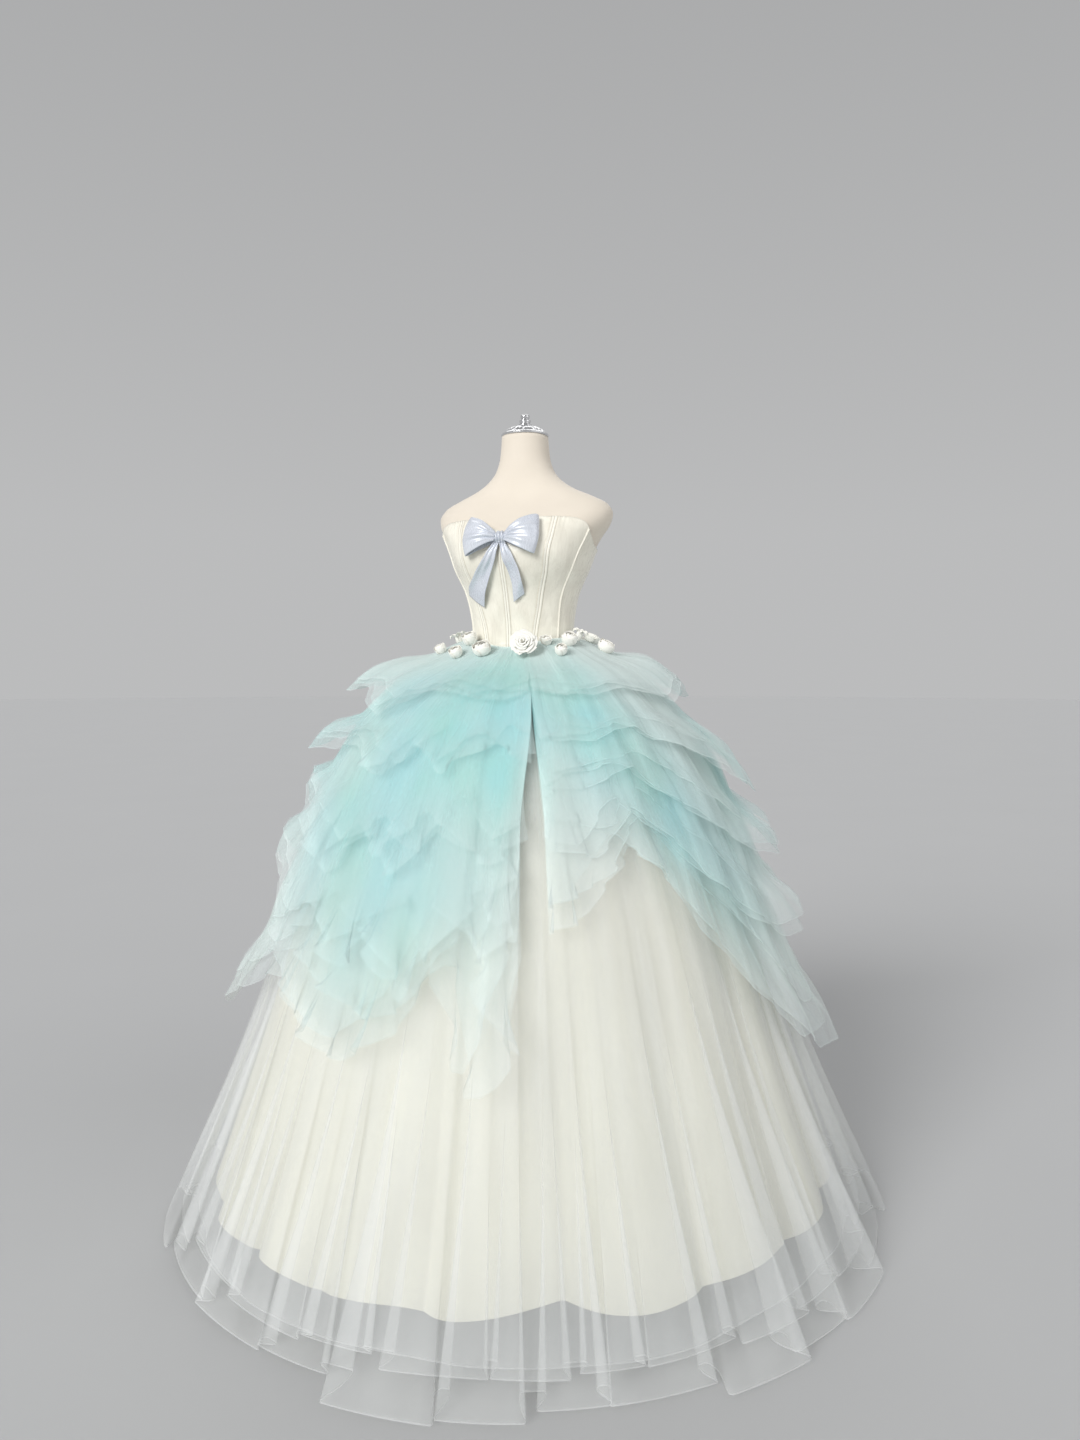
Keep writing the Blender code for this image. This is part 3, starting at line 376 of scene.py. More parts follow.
# dress form: half sizes of the torso at each height
torso = {
    "height": (0.900, 0.960, 1.010, 1.070, 1.110, 1.150, 1.178, 1.217, 1.254, 1.300, 1.330,
               1.360, 1.390, 1.412, 1.432, 1.450, 1.466, 1.484, 1.506, 1.535, 1.577),
    "width": (0.122, 0.158, 0.160, 0.139, 0.117, 0.1025, 0.1035, 0.1080, 0.1165, 0.1370, 0.1480,
              0.1640, 0.1830, 0.1885, 0.1780, 0.1450, 0.1080, 0.0800, 0.0610, 0.0515, 0.0475),
    "front": (0.086, 0.108, 0.108, 0.096, 0.086, 0.0785, 0.0800, 0.0870, 0.0960, 0.1120, 0.1190,
              0.1170, 0.1050, 0.0920, 0.0770, 0.0660, 0.0590, 0.0545, 0.0515, 0.0495, 0.0475),
    "back": (0.092, 0.124, 0.126, 0.106, 0.088, 0.0735, 0.0740, 0.0780, 0.0860, 0.0960, 0.1000,
             0.1010, 0.0980, 0.0920, 0.0820, 0.0720, 0.0640, 0.0580, 0.0530, 0.0500, 0.0475),
    "centre": (0.006, 0.006, 0.005, 0.003, 0.001, 0.000, 0.000, -0.001, -0.002, -0.002, 0.000,
               0.004, 0.008, 0.012, 0.015, 0.016, 0.015, 0.014, 0.013, 0.012, 0.011),
    "power": 2.15, "bustHeight": 1.325, "bustAngle": radians(33), "bustLobe": 0.010,
    "bustRise": 0.055, "bustSpread": radians(24), "top": 1.577, "bottom": 0.900,
    "underBodice": 0.0012, "underFrom": 1.10, "underTo": 1.40, "lidRings": (0.02, 0.5, 0.97),
    "columns": 100, "rows": 110,
}


def torsoColumn(height, column):
    return readCurve(torso["height"], torso[column], height)


def torsoRadius(angle, height):
    width = torsoColumn(height, "width")
    depth = np.where(np.cos(angle) > 0, torsoColumn(height, "front"), torsoColumn(height, "back"))
    across = np.abs(np.sin(angle) / width) ** torso["power"]
    along = np.abs(np.cos(angle) / depth) ** torso["power"]
    radius = (across + along) ** (-1 / torso["power"])
    level = hump((height - torso["bustHeight"]) / torso["bustRise"])
    for side in (-1, 1):
        off = turnBetween(angle, side * torso["bustAngle"]) / torso["bustSpread"]
        radius = radius + torso["bustLobe"] * level * hump(off)
    return radius


def torsoSpot(angle, height):
    reach = torsoRadius(angle, height)
    middle = torsoColumn(height, "centre")
    return np.stack([np.sin(angle) * reach, middle - np.cos(angle) * reach, height], axis=-1)


def torsoPoint(angle, height, outward=0.0):
    angle, height = np.broadcast_arrays(np.asarray(angle, float), np.asarray(height, float))
    step = 0.002
    along = torsoSpot(angle + step, height) - torsoSpot(angle - step, height)
    up = torsoSpot(angle, height + step) - torsoSpot(angle, height - step)
    facing = np.cross(along, up)
    facing /= np.linalg.norm(facing, axis=-1, keepdims=True)
    return torsoSpot(angle, height) + facing * np.asarray(outward)[..., None]


def buildTorso():
    angles = np.linspace(0, 2 * pi, torso["columns"], endpoint=False)
    heights = np.linspace(torso["top"], torso["bottom"], torso["rows"])[:, None]
    under = ease((heights - torso["underFrom"]) / 0.04) * ease((torso["underTo"] - heights) / 0.03)
    skin = torsoPoint(angles, heights, -torso["underBodice"] * under)
    centre = torsoColumn(torso["top"], "centre")
    lid = [(skin[0] - [0, centre, 0]) * [k, k, 1] + [0, centre, 0] for k in torso["lidRings"]]
    foot = [skin[-1] * [k, k, 1] for k in reversed(torso["lidRings"])]
    grid = np.concatenate([np.stack(lid), skin, np.stack(foot)])
    mesh = patchMesh("formTorso", [grid], closed=True)
    addPiece("formTorso", mesh, finish["form"], ["form_torso"])


neckCap = {
    "radius": (0.0005, 0.0130, 0.0158, 0.0172, 0.0200, 0.0262, 0.0330, 0.0395, 0.0432, 0.0462,
               0.0484, 0.0492, 0.0488, 0.0476, 0.0440),
    "rise": (0.0245, 0.0243, 0.0231, 0.0208, 0.0194, 0.0178, 0.0148, 0.0102, 0.0074, 0.0062,
             0.0050, 0.0034, 0.0016, 0.0004, 0.0003),
    "relief": (0, 0, 0, 0, 0.0004, 0.0016, 0.0022, 0.0018, 0.0004, 0, 0, 0, 0, 0, 0),
    "leaves": 11, "vein": 0.35, "chasing": 0.3, "chasingTurn": 260, "beads": 40,
    "beadDepth": 0.0005, "beadsAt": 11, "columns": 160, "rows": 44,
}
finial = {
    "radius": (0.0004, 0.0044, 0.0078, 0.0093, 0.0098, 0.0095, 0.0086, 0.0090, 0.0112, 0.0120,
               0.0119, 0.0108, 0.0110, 0.0132, 0.0142, 0.0145, 0.0142, 0.0130),
    "rise": (0.0270, 0.0266, 0.0254, 0.0238, 0.0216, 0.0192, 0.0172, 0.0162, 0.0148, 0.0128,
             0.0104, 0.0086, 0.0074, 0.0064, 0.0050, 0.0032, 0.0012, 0.0001),
    "facets": 8, "facetDepth": 0.035, "columns": 64, "rows": 52,
}


def chasedCap(spots, turn, radius, rise):  # pointed leaves on the dome and a beaded rim
    relief = readCurve(range(len(neckCap["relief"])), neckCap["relief"], spots)
    sway = neckCap["leaves"] * turn
    leaf = np.abs(np.cos(sway / 2)) ** 0.7 - neckCap["vein"] * ridge(2 * sway, 6)
    leaf = leaf + neckCap["chasing"] * np.sin(3 * sway + neckCap["chasingTurn"] * radius)
    rim = ridge(((spots - neckCap["beadsAt"]) * 0.9).clip(-pi, pi), 3)
    beads = neckCap["beadDepth"] * rim * ridge(neckCap["beads"] * turn, 1)
    return radius + beads, rise + relief * leaf


def turnedGrid(shape, foot, centre):
    steps = range(len(shape["radius"]))
    spots = np.linspace(0, len(shape["radius"]) - 1, shape["rows"])[:, None]
    turn = np.linspace(0, 2 * pi, shape["columns"], endpoint=False)
    radius = readCurve(steps, shape["radius"], spots) + 0 * turn
    rise = readCurve(steps, shape["rise"], spots) + 0 * turn
    if "relief" in shape:
        radius, rise = chasedCap(spots, turn, radius, rise)
    else:
        facet = 1 - shape["facetDepth"] * (1 - np.abs(np.cos(shape["facets"] * turn / 2)))
        radius = radius * facet
    return np.stack([np.sin(turn) * radius, centre - np.cos(turn) * radius, foot + rise], axis=-1)


def buildCap():
    centre = float(torsoColumn(torso["top"], "centre"))
    for name, node, shape in (("neckCap", "neck_cap", neckCap), ("capFinial", "finial", finial)):
        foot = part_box(node)[0][2]
        mesh = patchMesh(name, [turnedGrid(shape, foot, centre)], closed=True)
        addPiece(name, mesh, finish["chrome"], [node])


def paintStand():
    for node in ("stand_base", "stand_pole"):
        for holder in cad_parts[node].material_slots:
            holder.material = finish["steel"]


buildTorso()
buildCap()
paintStand()
print("dress form made")


# bodice: seams in degrees round the form at each height, neck edge by angle
waist = {"front": 1.128, "back": 1.148, "spread": radians(42)}
bodice = {
    "seamHeight": (1.120, 1.180, 1.230, 1.280, 1.320, 1.360, 1.400),
    "princess": (33.0, 37.0, 40.0, 40.5, 39.5, 42.5, 48.0),
    "corded": (64.0, 64.5, 63.5, 65.0, 67.0, 70.0, 72.0),
    "sideBack": (122.0, 120.0, 119.0, 118.0, 117.0, 116.0, 116.0),
    "neckAngle": (0, 9, 24, 36, 60, 67, 74, 86, 110, 180),
    "neckHeight": (1.3660, 1.3720, 1.3890, 1.3955, 1.3950, 1.3880, 1.3660, 1.3460, 1.3370, 1.3360),
    "tuck": 0.003, "ease": 0.0018, "neckEase": 0.0009, "neckEaseShare": 0.1, "wall": 0.0034,
    "plainShare": 0.74, "cloth": 0.0012, "columns": 54, "rows": 66, "cordHalf": 0.0018,
    "seamSteps": (0.0, 0.0006, 0.0012), "leastStep": 0.0015,
    "stripSteps": (-0.0016, -0.0008, -0.0002, 0.0004, 0.0010, 0.0018, 0.0030),
}
panels = {  # seam at the front, its strip, seam at the back, its strip, flat cut width, length, area
    "Front": ("centreFront", 0.0050, "princess", 0.0050, (0.090, 0.280), 0.0210),
    "SideFront": ("princess", 0.0050, "corded", 0.0018, (0.080, 0.285), 0.0165),
    "Side": ("corded", 0.0018, "sideBack", 0.0035, (0.135, 0.250), 0.0250),
    "Back": ("sideBack", 0.0035, "centreBack", 0.0035, (0.125, 0.215), 0.0215),
}
bodiceCreases = {
    "seamWide": 0.0008, "seamDeep": 0.0009, "seamShade": 0.8, "stepWide": 0.0016, "stepIn": 0.0006,
    "stitchWide": 0.0006, "stitchDeep": 0.0004, "stitchIn": 0.0012, "shadeWide": 0.0009,
    "shadeOut": 0.0004, "pucker": 0.0002, "puckerWide": 0.006, "puckerPitch": 0.013,
    "drag": 0.0011, "dragFrom": 0.008, "dragFade": 0.014,
    "gather": 0.0020, "gatherDrop": 0.016, "gatherPitch": 0.0085, "gatherSlant": 26,
    "fanAt": 0.014, "fanWide": 0.013, "fanElsewhere": 0.25,
    "belt": 0.0004, "beltAt": 0.016, "beltWide": 0.02, "beltPitch": 0.011, "beltSlant": 9,
    "rim": 0.0006, "rimWide": 0.004, "rimFade": 0.003,
}


def waistHeight(angle):
    off = turnBetween(angle, 0.0) / waist["spread"]
    return waist["back"] + (waist["front"] - waist["back"]) * hump(off)


def neckHeight(angle):
    away = np.abs(turnBetween(angle, 0.0)) * 180 / pi
    return readCurve(bodice["neckAngle"], bodice["neckHeight"], away)


def seamAngle(seam, height):
    if seam == "centreFront":
        return 0.0 * height
    if seam == "centreBack":
        return pi + 0.0 * height
    return np.radians(readCurve(bodice["seamHeight"], bodice[seam], height))


def panelSpots(panel, across, up):  # seams lean and edges slope, so it closes in on each spot
    angle = radians(60) + 0 * across * up
    for _ in range(8):
        low = waistHeight(angle) - bodice["tuck"]
        height = low + up * (neckHeight(angle) - low)
        first, last = seamAngle(panel[0], height), seamAngle(panel[2], height)
        angle = first + across * (last - first)
    return angle, height, last - first


def panelColumns(panel, up):  # columns keep their distance from both seams, so the channels run true
    height, width = panelSpots(panel, np.array([0.5]), up)[1:]
    ends = []
    for seam, strip in ((panel[0], panel[1]), (panel[2], panel[3])):
        beside = [strip + step for step in bodice["stripSteps"] if strip + step > bodice["leastStep"]]
        size = torsoRadius(seamAngle(seam, height), height) * width
        ends.append(np.array([*bodice["seamSteps"], *beside]) / size)
    near, far = ends[0], 1 - ends[1][:, ::-1]
    steps = np.linspace(0, 1, bodice["columns"] - near.shape[1] - far.shape[1] + 2)[1:-1]
    return np.concatenate([near, near[:, -1:] + steps * (far[:, :1] - near[:, -1:]), far], axis=1)


# how far the satin's outer face lies off the form: channels, their stitch lines and small creases; it also
# gives the masks for the painted light on the channels and the painted shade along the seams
def bodiceRelief(panel, angle, height, up):
    form, plain = bodiceCreases, bodice["plainShare"]
    first, last = seamAngle(panel[0], height), seamAngle(panel[2], height)
    near = (angle - first) * torsoRadius(angle, height)
    far = (last - angle) * torsoRadius(angle, height)
    share = plain + 0 * near
    for gap, strip in ((near, panel[1]), (far, panel[3])):
        padded = ease((gap - strip + form["stepIn"]) / form["stepWide"])
        share = np.maximum(share, 1 - (1 - plain) * padded)
    # painted light: where the padded strip lies, so the channels can be painted lighter
    stripPaintedLight = (share - plain) / (1 - plain)
    outward = bodice["wall"] * share
    # painted shade: this mark darkens the colour along each seam and just outside each stitch line
    groove = 0 * share
    for gap, strip in ((near, panel[1]), (far, panel[3])):
        seam = hump(gap / form["seamWide"])
        outward = outward - form["seamDeep"] * seam
        groove = np.maximum(groove, form["seamShade"] * seam)
        if strip > bodice["cordHalf"]:
            line = hump((gap - strip + form["stitchIn"]) / form["stitchWide"])
            outward = outward - form["stitchDeep"] * line
            groove = np.maximum(groove, hump((gap - strip - form["shadeOut"]) / form["shadeWide"]))
        pucker = np.sin(height * 2 * pi / form["puckerPitch"] + 2.4 * np.sin(height * 61))
        outward = outward + form["pucker"] * pucker * hump((gap - strip) / form["puckerWide"])
    drag = softNoise(11, angle * 9 / pi + 30 * height, height * 22)
    drag = drag + 0.5 * softNoise(13, angle * 20 / pi - 24 * height, height * 40)
    for gap in (near, far):
        drag = drag * ease((gap - form["dragFrom"]) / form["dragFade"])
    outward = outward + form["drag"] * drag
    fromTop = (1 - up) * (neckHeight(angle) - waistHeight(angle))
    tight = np.exp(-fromTop / form["gatherDrop"])
    fan = form["fanElsewhere"]
    if panel[0] == "princess":
        fan = hump((near - form["fanAt"]) / form["fanWide"])
    gathers = ridge(near * 2 * pi / form["gatherPitch"] - form["gatherSlant"] * fromTop, 2)
    outward = outward + form["gather"] * tight * fan * gathers
    belt = hump((height - waistHeight(angle) - form["beltAt"]) / form["beltWide"])
    wrinkles = np.sin(height * 2 * pi / form["beltPitch"] + form["beltSlant"] * angle)
    outward = outward + form["belt"] * belt * wrinkles
    outward = outward + form["rim"] * ease((form["rimWide"] - fromTop) / form["rimFade"])
    return outward, stripPaintedLight, groove


def buildBodice():
    up = np.linspace(1, 0, bodice["rows"])[:, None]
    tightening = ease(1 - (1 - up) / bodice["neckEaseShare"])
    looseness = bodice["ease"] + (bodice["neckEase"] - bodice["ease"]) * tightening
    for side, word in ((1, "Left"), (-1, "Right")):
        for panelWord, panel in panels.items():
            angle, height, _ = panelSpots(panel, panelColumns(panel, up), up)
            outward, stripPaintedLight, groove = bodiceRelief(panel, angle, height, up)
            grid = torsoPoint(angle, height, outward + looseness) * [side, 1, 1]
            grid, stripPaintedLight, groove = grid[:, ::side], stripPaintedLight[:, ::side], groove[:, ::side]
            name = "bodice" + panelWord + word
            # the strip mark carries the painted light on the channels, the seam mark the painted shade
            # along the seams
            mesh = patchMesh(name, [grid], {"strip": stripPaintedLight, "groove": groove})
            piece = addPiece(name, mesh, finish["bodice"], [nodeName(name)],
                             wall=bodice["cloth"])


stitching = {  # seams and how far the lines run beside them
    "lines": (("centreFront", 0.0040), ("princess", 0.0040), ("princess", -0.0040),
              ("sideBack", 0.0026), ("sideBack", -0.0026), ("centreBack", -0.0026)),
    "length": 0.0026, "pitch": 0.0036, "radius": 0.00028, "proud": 0.0001, "first": 0.003,
    "last": 0.004, "sides": 5, "steps": 700, "rings": ((0.0, 0.4), (0.5, 1.0), (1.0, 0.4)),
}
piping = {"radius": 0.0016, "seat": 0.9, "steps": 60}


def seamLine(seam, offset, count, outward, side):  # points along a seam, offset sideways
    up = np.linspace(0.0, 1.0, count)
    angle = np.radians(60) + 0 * up
    for _ in range(8):
        low = waistHeight(angle) + 0.002
        height = low + up * (neckHeight(angle) - 0.0015 - low)
        angle = seamAngle(seam, height) + offset / torsoRadius(angle, height)
    return torsoPoint(angle, height, outward) * [side, 1, 1]


def stitchPatch(low, high):  # a short thread, thick in the middle
    along = (high - low) / np.linalg.norm(high - low)
    sideways = np.cross(along, [low[0], low[1], 0.0])
    sideways /= np.linalg.norm(sideways)
    outward = np.cross(sideways, along)
    turns = np.linspace(0, 2 * pi, stitching["sides"])[:, None]
    ring = stitching["radius"] * (np.cos(turns) * sideways + np.sin(turns) * outward)
    return np.array([low + (high - low) * share + ring * thick for share, thick in stitching["rings"]])


def buildStitches():
    face = bodice["ease"] + bodice["wall"] + stitching["proud"]
    patches = []
    for side in (1, -1):
        for seam, offset in stitching["lines"]:
            centre = seamLine(seam, offset, stitching["steps"], face, side)
            walked = np.concatenate([[0], np.cumsum(np.linalg.norm(np.diff(centre, axis=0), axis=1))])
            for start in np.arange(stitching["first"], walked[-1] - stitching["last"], stitching["pitch"]):
                ends = [[np.interp(s, walked, centre[:, k]) for k in range(3)]
                        for s in (start, start + stitching["length"])]
                patches.append(stitchPatch(*np.array(ends)))
    mesh = patchMesh("bodiceTopstitching", patches)
    addPiece("bodiceTopstitching", mesh, finish["thread"])


def buildPiping():
    for side, word in ((1, "Left"), (-1, "Right")):
        curve = bpy.data.curves.new("bodicePiping" + word, "CURVE")
        curve.dimensions = "3D"
        curve.bevel_depth = piping["radius"]
        curve.bevel_resolution = 3
        curve.use_fill_caps = True
        seat = bodice["ease"] + bodice["wall"] * piping["seat"]
        points = seamLine("corded", 0.0, piping["steps"], seat, side)
        spline = curve.splines.new("POLY")
        spline.points.add(len(points) - 1)
        for spot, point in zip(spline.points, points):
            spot.co = (*point, 1.0)
        spline.use_smooth = True
        cord = bpy.data.objects.new("bodicePiping" + word, curve)
        curve.materials.append(finish["bodice"])
        dressing.objects.link(cord)
        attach(cord, "root")


buildBodice()
buildStitches()
buildPiping()
print("bodice made")


# the skirt's own surface: share is the part of the way from the waist to the floor
skirt = {
    "share": (0.0, 0.010, 0.026, 0.044, 0.067, 0.096, 0.130, 0.174, 0.226, 0.304, 0.391, 0.478,
              0.565, 0.652, 0.739, 0.826, 0.913, 1.0),
    "radius": (0.1090, 0.1380, 0.1740, 0.2050, 0.2400, 0.2700, 0.3010, 0.3360, 0.3700, 0.4120,
               0.4510, 0.4840, 0.5140, 0.5460, 0.5810, 0.6180, 0.6560, 0.6920),
    "roundFrom": 0.13, "waistEase": 0.0012, "ringColumns": 42,
}
layers = {  # how far each layer lies off the skirt's surface
    "share": (0.0, 0.03, 0.13, 0.30, 0.60, 1.0),
    "satin": (0.0, -0.001, -0.008, -0.014, -0.026, -0.046),
    "middle": (0.0023, 0.0017, -0.003, -0.007, -0.012, -0.020),
    "outer": (0.0043, 0.0040, 0.002, 0.0, 0.0, 0.0),
    "first": (0.0061, 0.0062, 0.007, 0.008, 0.013, 0.014),
    "second": (0.0079, 0.0084, 0.012, 0.016, 0.022, 0.024),
    "third": (0.0097, 0.0106, 0.017, 0.024, 0.030, 0.032),
    "fourth": (0.0115, 0.0128, 0.022, 0.032, 0.038, 0.040),
    "fifth": (0.0133, 0.0150, 0.027, 0.040, 0.046, 0.048),
}
gathers = {  # they run down from the waist: many and shallow at the seam, fewer and deeper lower down
    "rows": ((26, 0.10, 1.2, 0.0050), (43, 0.03, 0.60, 0.0038),  # count, start, end, depth
             (71, 0.01, 0.30, 0.0026), (113, 0.0, 0.14, 0.0016)),
    "drift": 2.6, "sink": 0.3, "least": 0.004, "fade": 0.6, "even": 0.55, "uneven": 0.45,
}


def skirtRadius(angle, share):
    height = waistHeight(angle)
    waistShape = torsoRadius(angle, height) + bodice["ease"] + bodice["wall"] + skirt["waistEase"]
    waistShape = waistShape / skirt["radius"][0]
    plain = readCurve(skirt["share"], skirt["radius"], share)
    return plain * (1 - (1 - waistShape) * (1 - ease(share / skirt["roundFrom"])))


def skirtPoint(angle, share, outward, swell=0.0, swing=0.0):
    step = 0.004
    upper, lower = np.maximum(share - step, 0.0), share + step
    run = skirtRadius(angle, lower) - skirtRadius(angle, upper)
    drop = waistHeight(angle) * (lower - upper)
    size = np.hypot(run, drop)
    radius = skirtRadius(angle, share) + swell + outward * drop / size
    height = waistHeight(angle) * (1 - share) + outward * run / size
    turned = angle + swing
    return np.stack([np.sin(turned) * radius, -np.cos(turned) * radius, height], axis=-1)


def layer(name, share):
    return readCurve(layers["share"], layers[name], share)


def gatherDepth(angle, share, seed, sharpness=3):
    total = 0.0 * angle * share
    for count, start, end, depth in gathers["rows"]:
        drift = gathers["drift"] * ringNoise(seed + count, 18, angle, share * 1.6)
        uneven = gathers["uneven"] * ringNoise(seed + count + 1, 28, angle, share * 2.0)
        window = ease(share / max(start, gathers["least"])) * ease((end - share) / (gathers["fade"] * end))
        crest = ridge(count * angle + drift, sharpness) - gathers["sink"]
        total = total + depth * window * (gathers["even"] + uneven) * crest
    return total


def widthAngles(start, span, columns):  # from seam to seam, counted in the ring's columns
    seams = [(start + 0.5 + n * span) / skirt["ringColumns"] for n in (0, 1)]
    return 2 * pi * np.linspace(*seams, columns)


def rowShares(count, power, tail=(0.0022, 0.0044)):  # 0 to 1 with rows close to the hem
    plain = np.linspace(0, 1 - 2.5 * tail[1], count) ** power
    return np.concatenate([plain, [1 - tail[1], 1 - tail[0], 1.0]])[:, None]


def hemMark(level, hem, band=0.0035):  # 1 at the rolled hem
    return np.clip(1 - (1 - level) * hem * 1.2 / band, 0.0, 1.0)


def fullness(share):  # gathered net covers more near the waist than where it opens out
    return 1.0 + 0.5 * (1 - ease(share / 0.45))


def walkedLength(points, axis):  # metres of cloth from the first row or column
    steps = np.linalg.norm(np.diff(points, axis=axis), axis=-1)
    start = np.take(0 * points[..., 0], [0], axis=axis)
    return np.concatenate([start, np.cumsum(steps, axis=axis)], axis=axis)


def hangCloth(name, node, grid, marks, material):
    along = walkedLength(grid, 0)
    marks = {"across": walkedLength(grid[-1:], 1), "along": along, **marks}
    marks = {mark: values + 0 * along for mark, values in marks.items()}
    mesh = patchMesh(name, [grid], marks)
    piece = addPiece(name, mesh, finish[material], [node])


# satin underskirt
satinSkirt = {
    "hem": 0.925, "lift": 0.020, "liftSpread": radians(12), "slit": radians(24), "hemUneven": 0.009,
    "waves": 17, "waveFrom": 0.12, "waveDepth": 0.029, "lean": 0.045, "wander": (1.5, 1.1),
    "valley": 0.03, "halfWave": 0.22, "halfValley": 0.06, "fine": 0.10,
    "gather": 0.5, "gatherTo": 0.3, "gatherFade": 0.2, "hemFold": 0.0007, "hemFoldFrom": 0.985,
    "seamGap": 0.0002, "rows": 74, "columns": 72, "flat": (0.80, 1.10), "area": 0.52,
    "gores": {"Front": -4, "SideFrontLeft": 3, "SideBackLeft": 10, "Back": 17,
              "SideBackRight": 24, "SideFrontRight": 31},
    "goreColumns": 7,
}


def satinWave(angle, share):  # rounded flutes with narrow valleys, and how far their sides lean
    grown = ease((share - satinSkirt["waveFrom"]) / (1 - satinSkirt["waveFrom"]))
    slow, quick = satinSkirt["wander"]
    phase = satinSkirt["waves"] * angle + slow * np.sin(2 * angle) + quick * np.sin(3 * angle + 2) + 0.4
    strong = 0.80 + 0.25 * ringNoise(6, 18, angle)
    flute = np.sqrt(np.cos(phase / 2) ** 2 + satinSkirt["valley"])
    half = np.sqrt(np.cos(phase + 0.5) ** 2 + satinSkirt["halfValley"])
    flute = flute + satinSkirt["halfWave"] * grown * half
    fine = satinSkirt["fine"] * ringNoise(5, 44, angle, share * 1.4)
    lean = satinSkirt["lean"] * grown ** 2 * strong * np.sin(phase)
    return grown * (strong * (1.7 * flute - 1.5) + fine), lean


def buildSatinSkirt():
    level = rowShares(satinSkirt["rows"], 1.7)
    for word, start in satinSkirt["gores"].items():
        angle = widthAngles(start, satinSkirt["goreColumns"], satinSkirt["columns"])
        angle[0] += satinSkirt["seamGap"]
        angle[-1] -= satinSkirt["seamGap"]
        off = turnBetween(angle, satinSkirt["slit"]) / satinSkirt["liftSpread"]
        hem = satinSkirt["hem"] - satinSkirt["lift"] * hump(off)
        hem = hem + satinSkirt["hemUneven"] * ringNoise(3, 28, angle)
        share = level * hem
        wave, lean = satinWave(angle, share)
        outward = layer("satin", share) + satinSkirt["waveDepth"] * wave
        fade = ease((satinSkirt["gatherTo"] - share) / satinSkirt["gatherFade"])
        outward = outward + satinSkirt["gather"] * gatherDepth(angle, share, 40, 2) * fade
        outward = outward + satinSkirt["hemFold"] * ease((level - satinSkirt["hemFoldFrom"]) / 0.002)
        grid = skirtPoint(angle, share, outward, 0.0, lean)
        name = "satinSkirt" + word
        hangCloth(name, nodeName(name), grid, {}, "satin")


# middle tulle skirt, which follows the satin's flutes a little
middleTulle = {
    "hem": 0.972, "hemUneven": 0.007, "flute": 0.008, "soft": 0.005, "softFrom": 0.25,
    "gather": 0.8, "rows": 50, "columns": 260, "flat": (2.05, 1.15), "area": 1.90,
    "widths": {"Left": 3, "Right": 24}, "widthColumns": 21,
}
netGathers = {"to": 0.75, "fade": 0.4}


def netGather(angle, share, seed):  # dies out above the hem
    return gatherDepth(angle, share, seed) * ease((netGathers["to"] - share) / netGathers["fade"])


def buildMiddleTulle():
    level = rowShares(middleTulle["rows"], 1.6)
    for word, start in middleTulle["widths"].items():
        angle = widthAngles(start, middleTulle["widthColumns"], middleTulle["columns"])
        hem = middleTulle["hem"] + middleTulle["hemUneven"] * ringNoise(8, 24, angle)
        share = level * hem
        outward = layer("middle", share) + middleTulle["flute"] * satinWave(angle, share)[0]
        grown = ease((share - middleTulle["softFrom"]) / (1 - middleTulle["softFrom"]))
        outward = outward + middleTulle["soft"] * grown * ringNoise(9, 32, angle, share * 1.5)
        outward = outward + middleTulle["gather"] * netGather(angle, share, 60)
        grid = skirtPoint(angle, share, outward)
        marks = {"edge": hemMark(level, hem), "full": fullness(share)}
        name = "middleTulle" + word
        hangCloth(name, nodeName(name), grid, marks, "middleTulle")


# outer tulle: flat folds that widen to the hem and turn back under their own edges
outerTulle = {  # degrees round the skirt, half widths of the fold and of its crest, depth at the hem
    "angle": (-57.0, -40.0, -23.5, -10.5, 4.2, 16.2, 27.0, 37.8, 50.6, 62.2, 74.2, 91.0, 106.0,
              119.5, 133.0, 147.0, 161.5, 174.5, 188.0, 201.0, 215.0, 228.5, 242.5, 256.0,
              270.5, 285.5),
    "half": (7.5, 6.0, 7.0, 4.5, 6.4, 4.6, 3.6, 6.2, 5.6, 4.6, 6.0, 7.0, 5.5, 6.2, 5.4, 6.6, 5.2,
             6.0, 5.6, 6.4, 5.4, 6.4, 5.4, 6.2, 5.6, 6.6),
    "crest": (3.0, 1.8, 4.0, 1.5, 4.2, 3.0, 1.4, 4.4, 3.0, 1.6, 2.4, 2.8, 2.2, 3.4, 1.8, 3.6, 2.0,
              3.2, 1.8, 3.8, 2.0, 3.2, 1.8, 3.4, 2.0, 3.0),
    "depth": (0.040, 0.020, 0.034, 0.022, 0.084, 0.070, 0.046, 0.048, 0.083, 0.056, 0.064, 0.034,
              0.058, 0.044, 0.070, 0.052, 0.062, 0.040, 0.072, 0.050, 0.060, 0.044, 0.066, 0.048,
              0.056, 0.038),
    "from": 0.28, "growth": 1.5, "spread": 0.38, "soft": 0.004, "sway": 0.008, "softFrom": 0.3,
    "rows": 58, "foldColumns": (2, 7, 8, 7, 2),
    "widths": {"Front": 1, "Left": 9, "Back": 16, "Right": 22},
}
outerPlies = {  # degrees turned, inset, share of the fold's depth, hem's share, its waviness
    "": {"turn": 0.0, "inset": 0.0, "deep": 1.0, "hem": 0.996, "uneven": 0.004, "seed": 80,
         "flat": (1.75, 1.22), "area": 1.30},
    "UnderPly": {"turn": 5.5, "inset": -0.008, "deep": 0.62, "hem": 0.972, "uneven": 0.014,
                 "seed": 95, "flat": (1.60, 1.18), "area": 1.10},
}
outerFolds = list(zip(*(outerTulle[c] for c in ("angle", "half", "crest", "depth"))))


def foldAt(folds, i):  # goes on round past the last fold
    angle, half, crest, depth = folds[i % len(folds)]
    return angle + 360 * (i // len(folds)), half, crest, depth


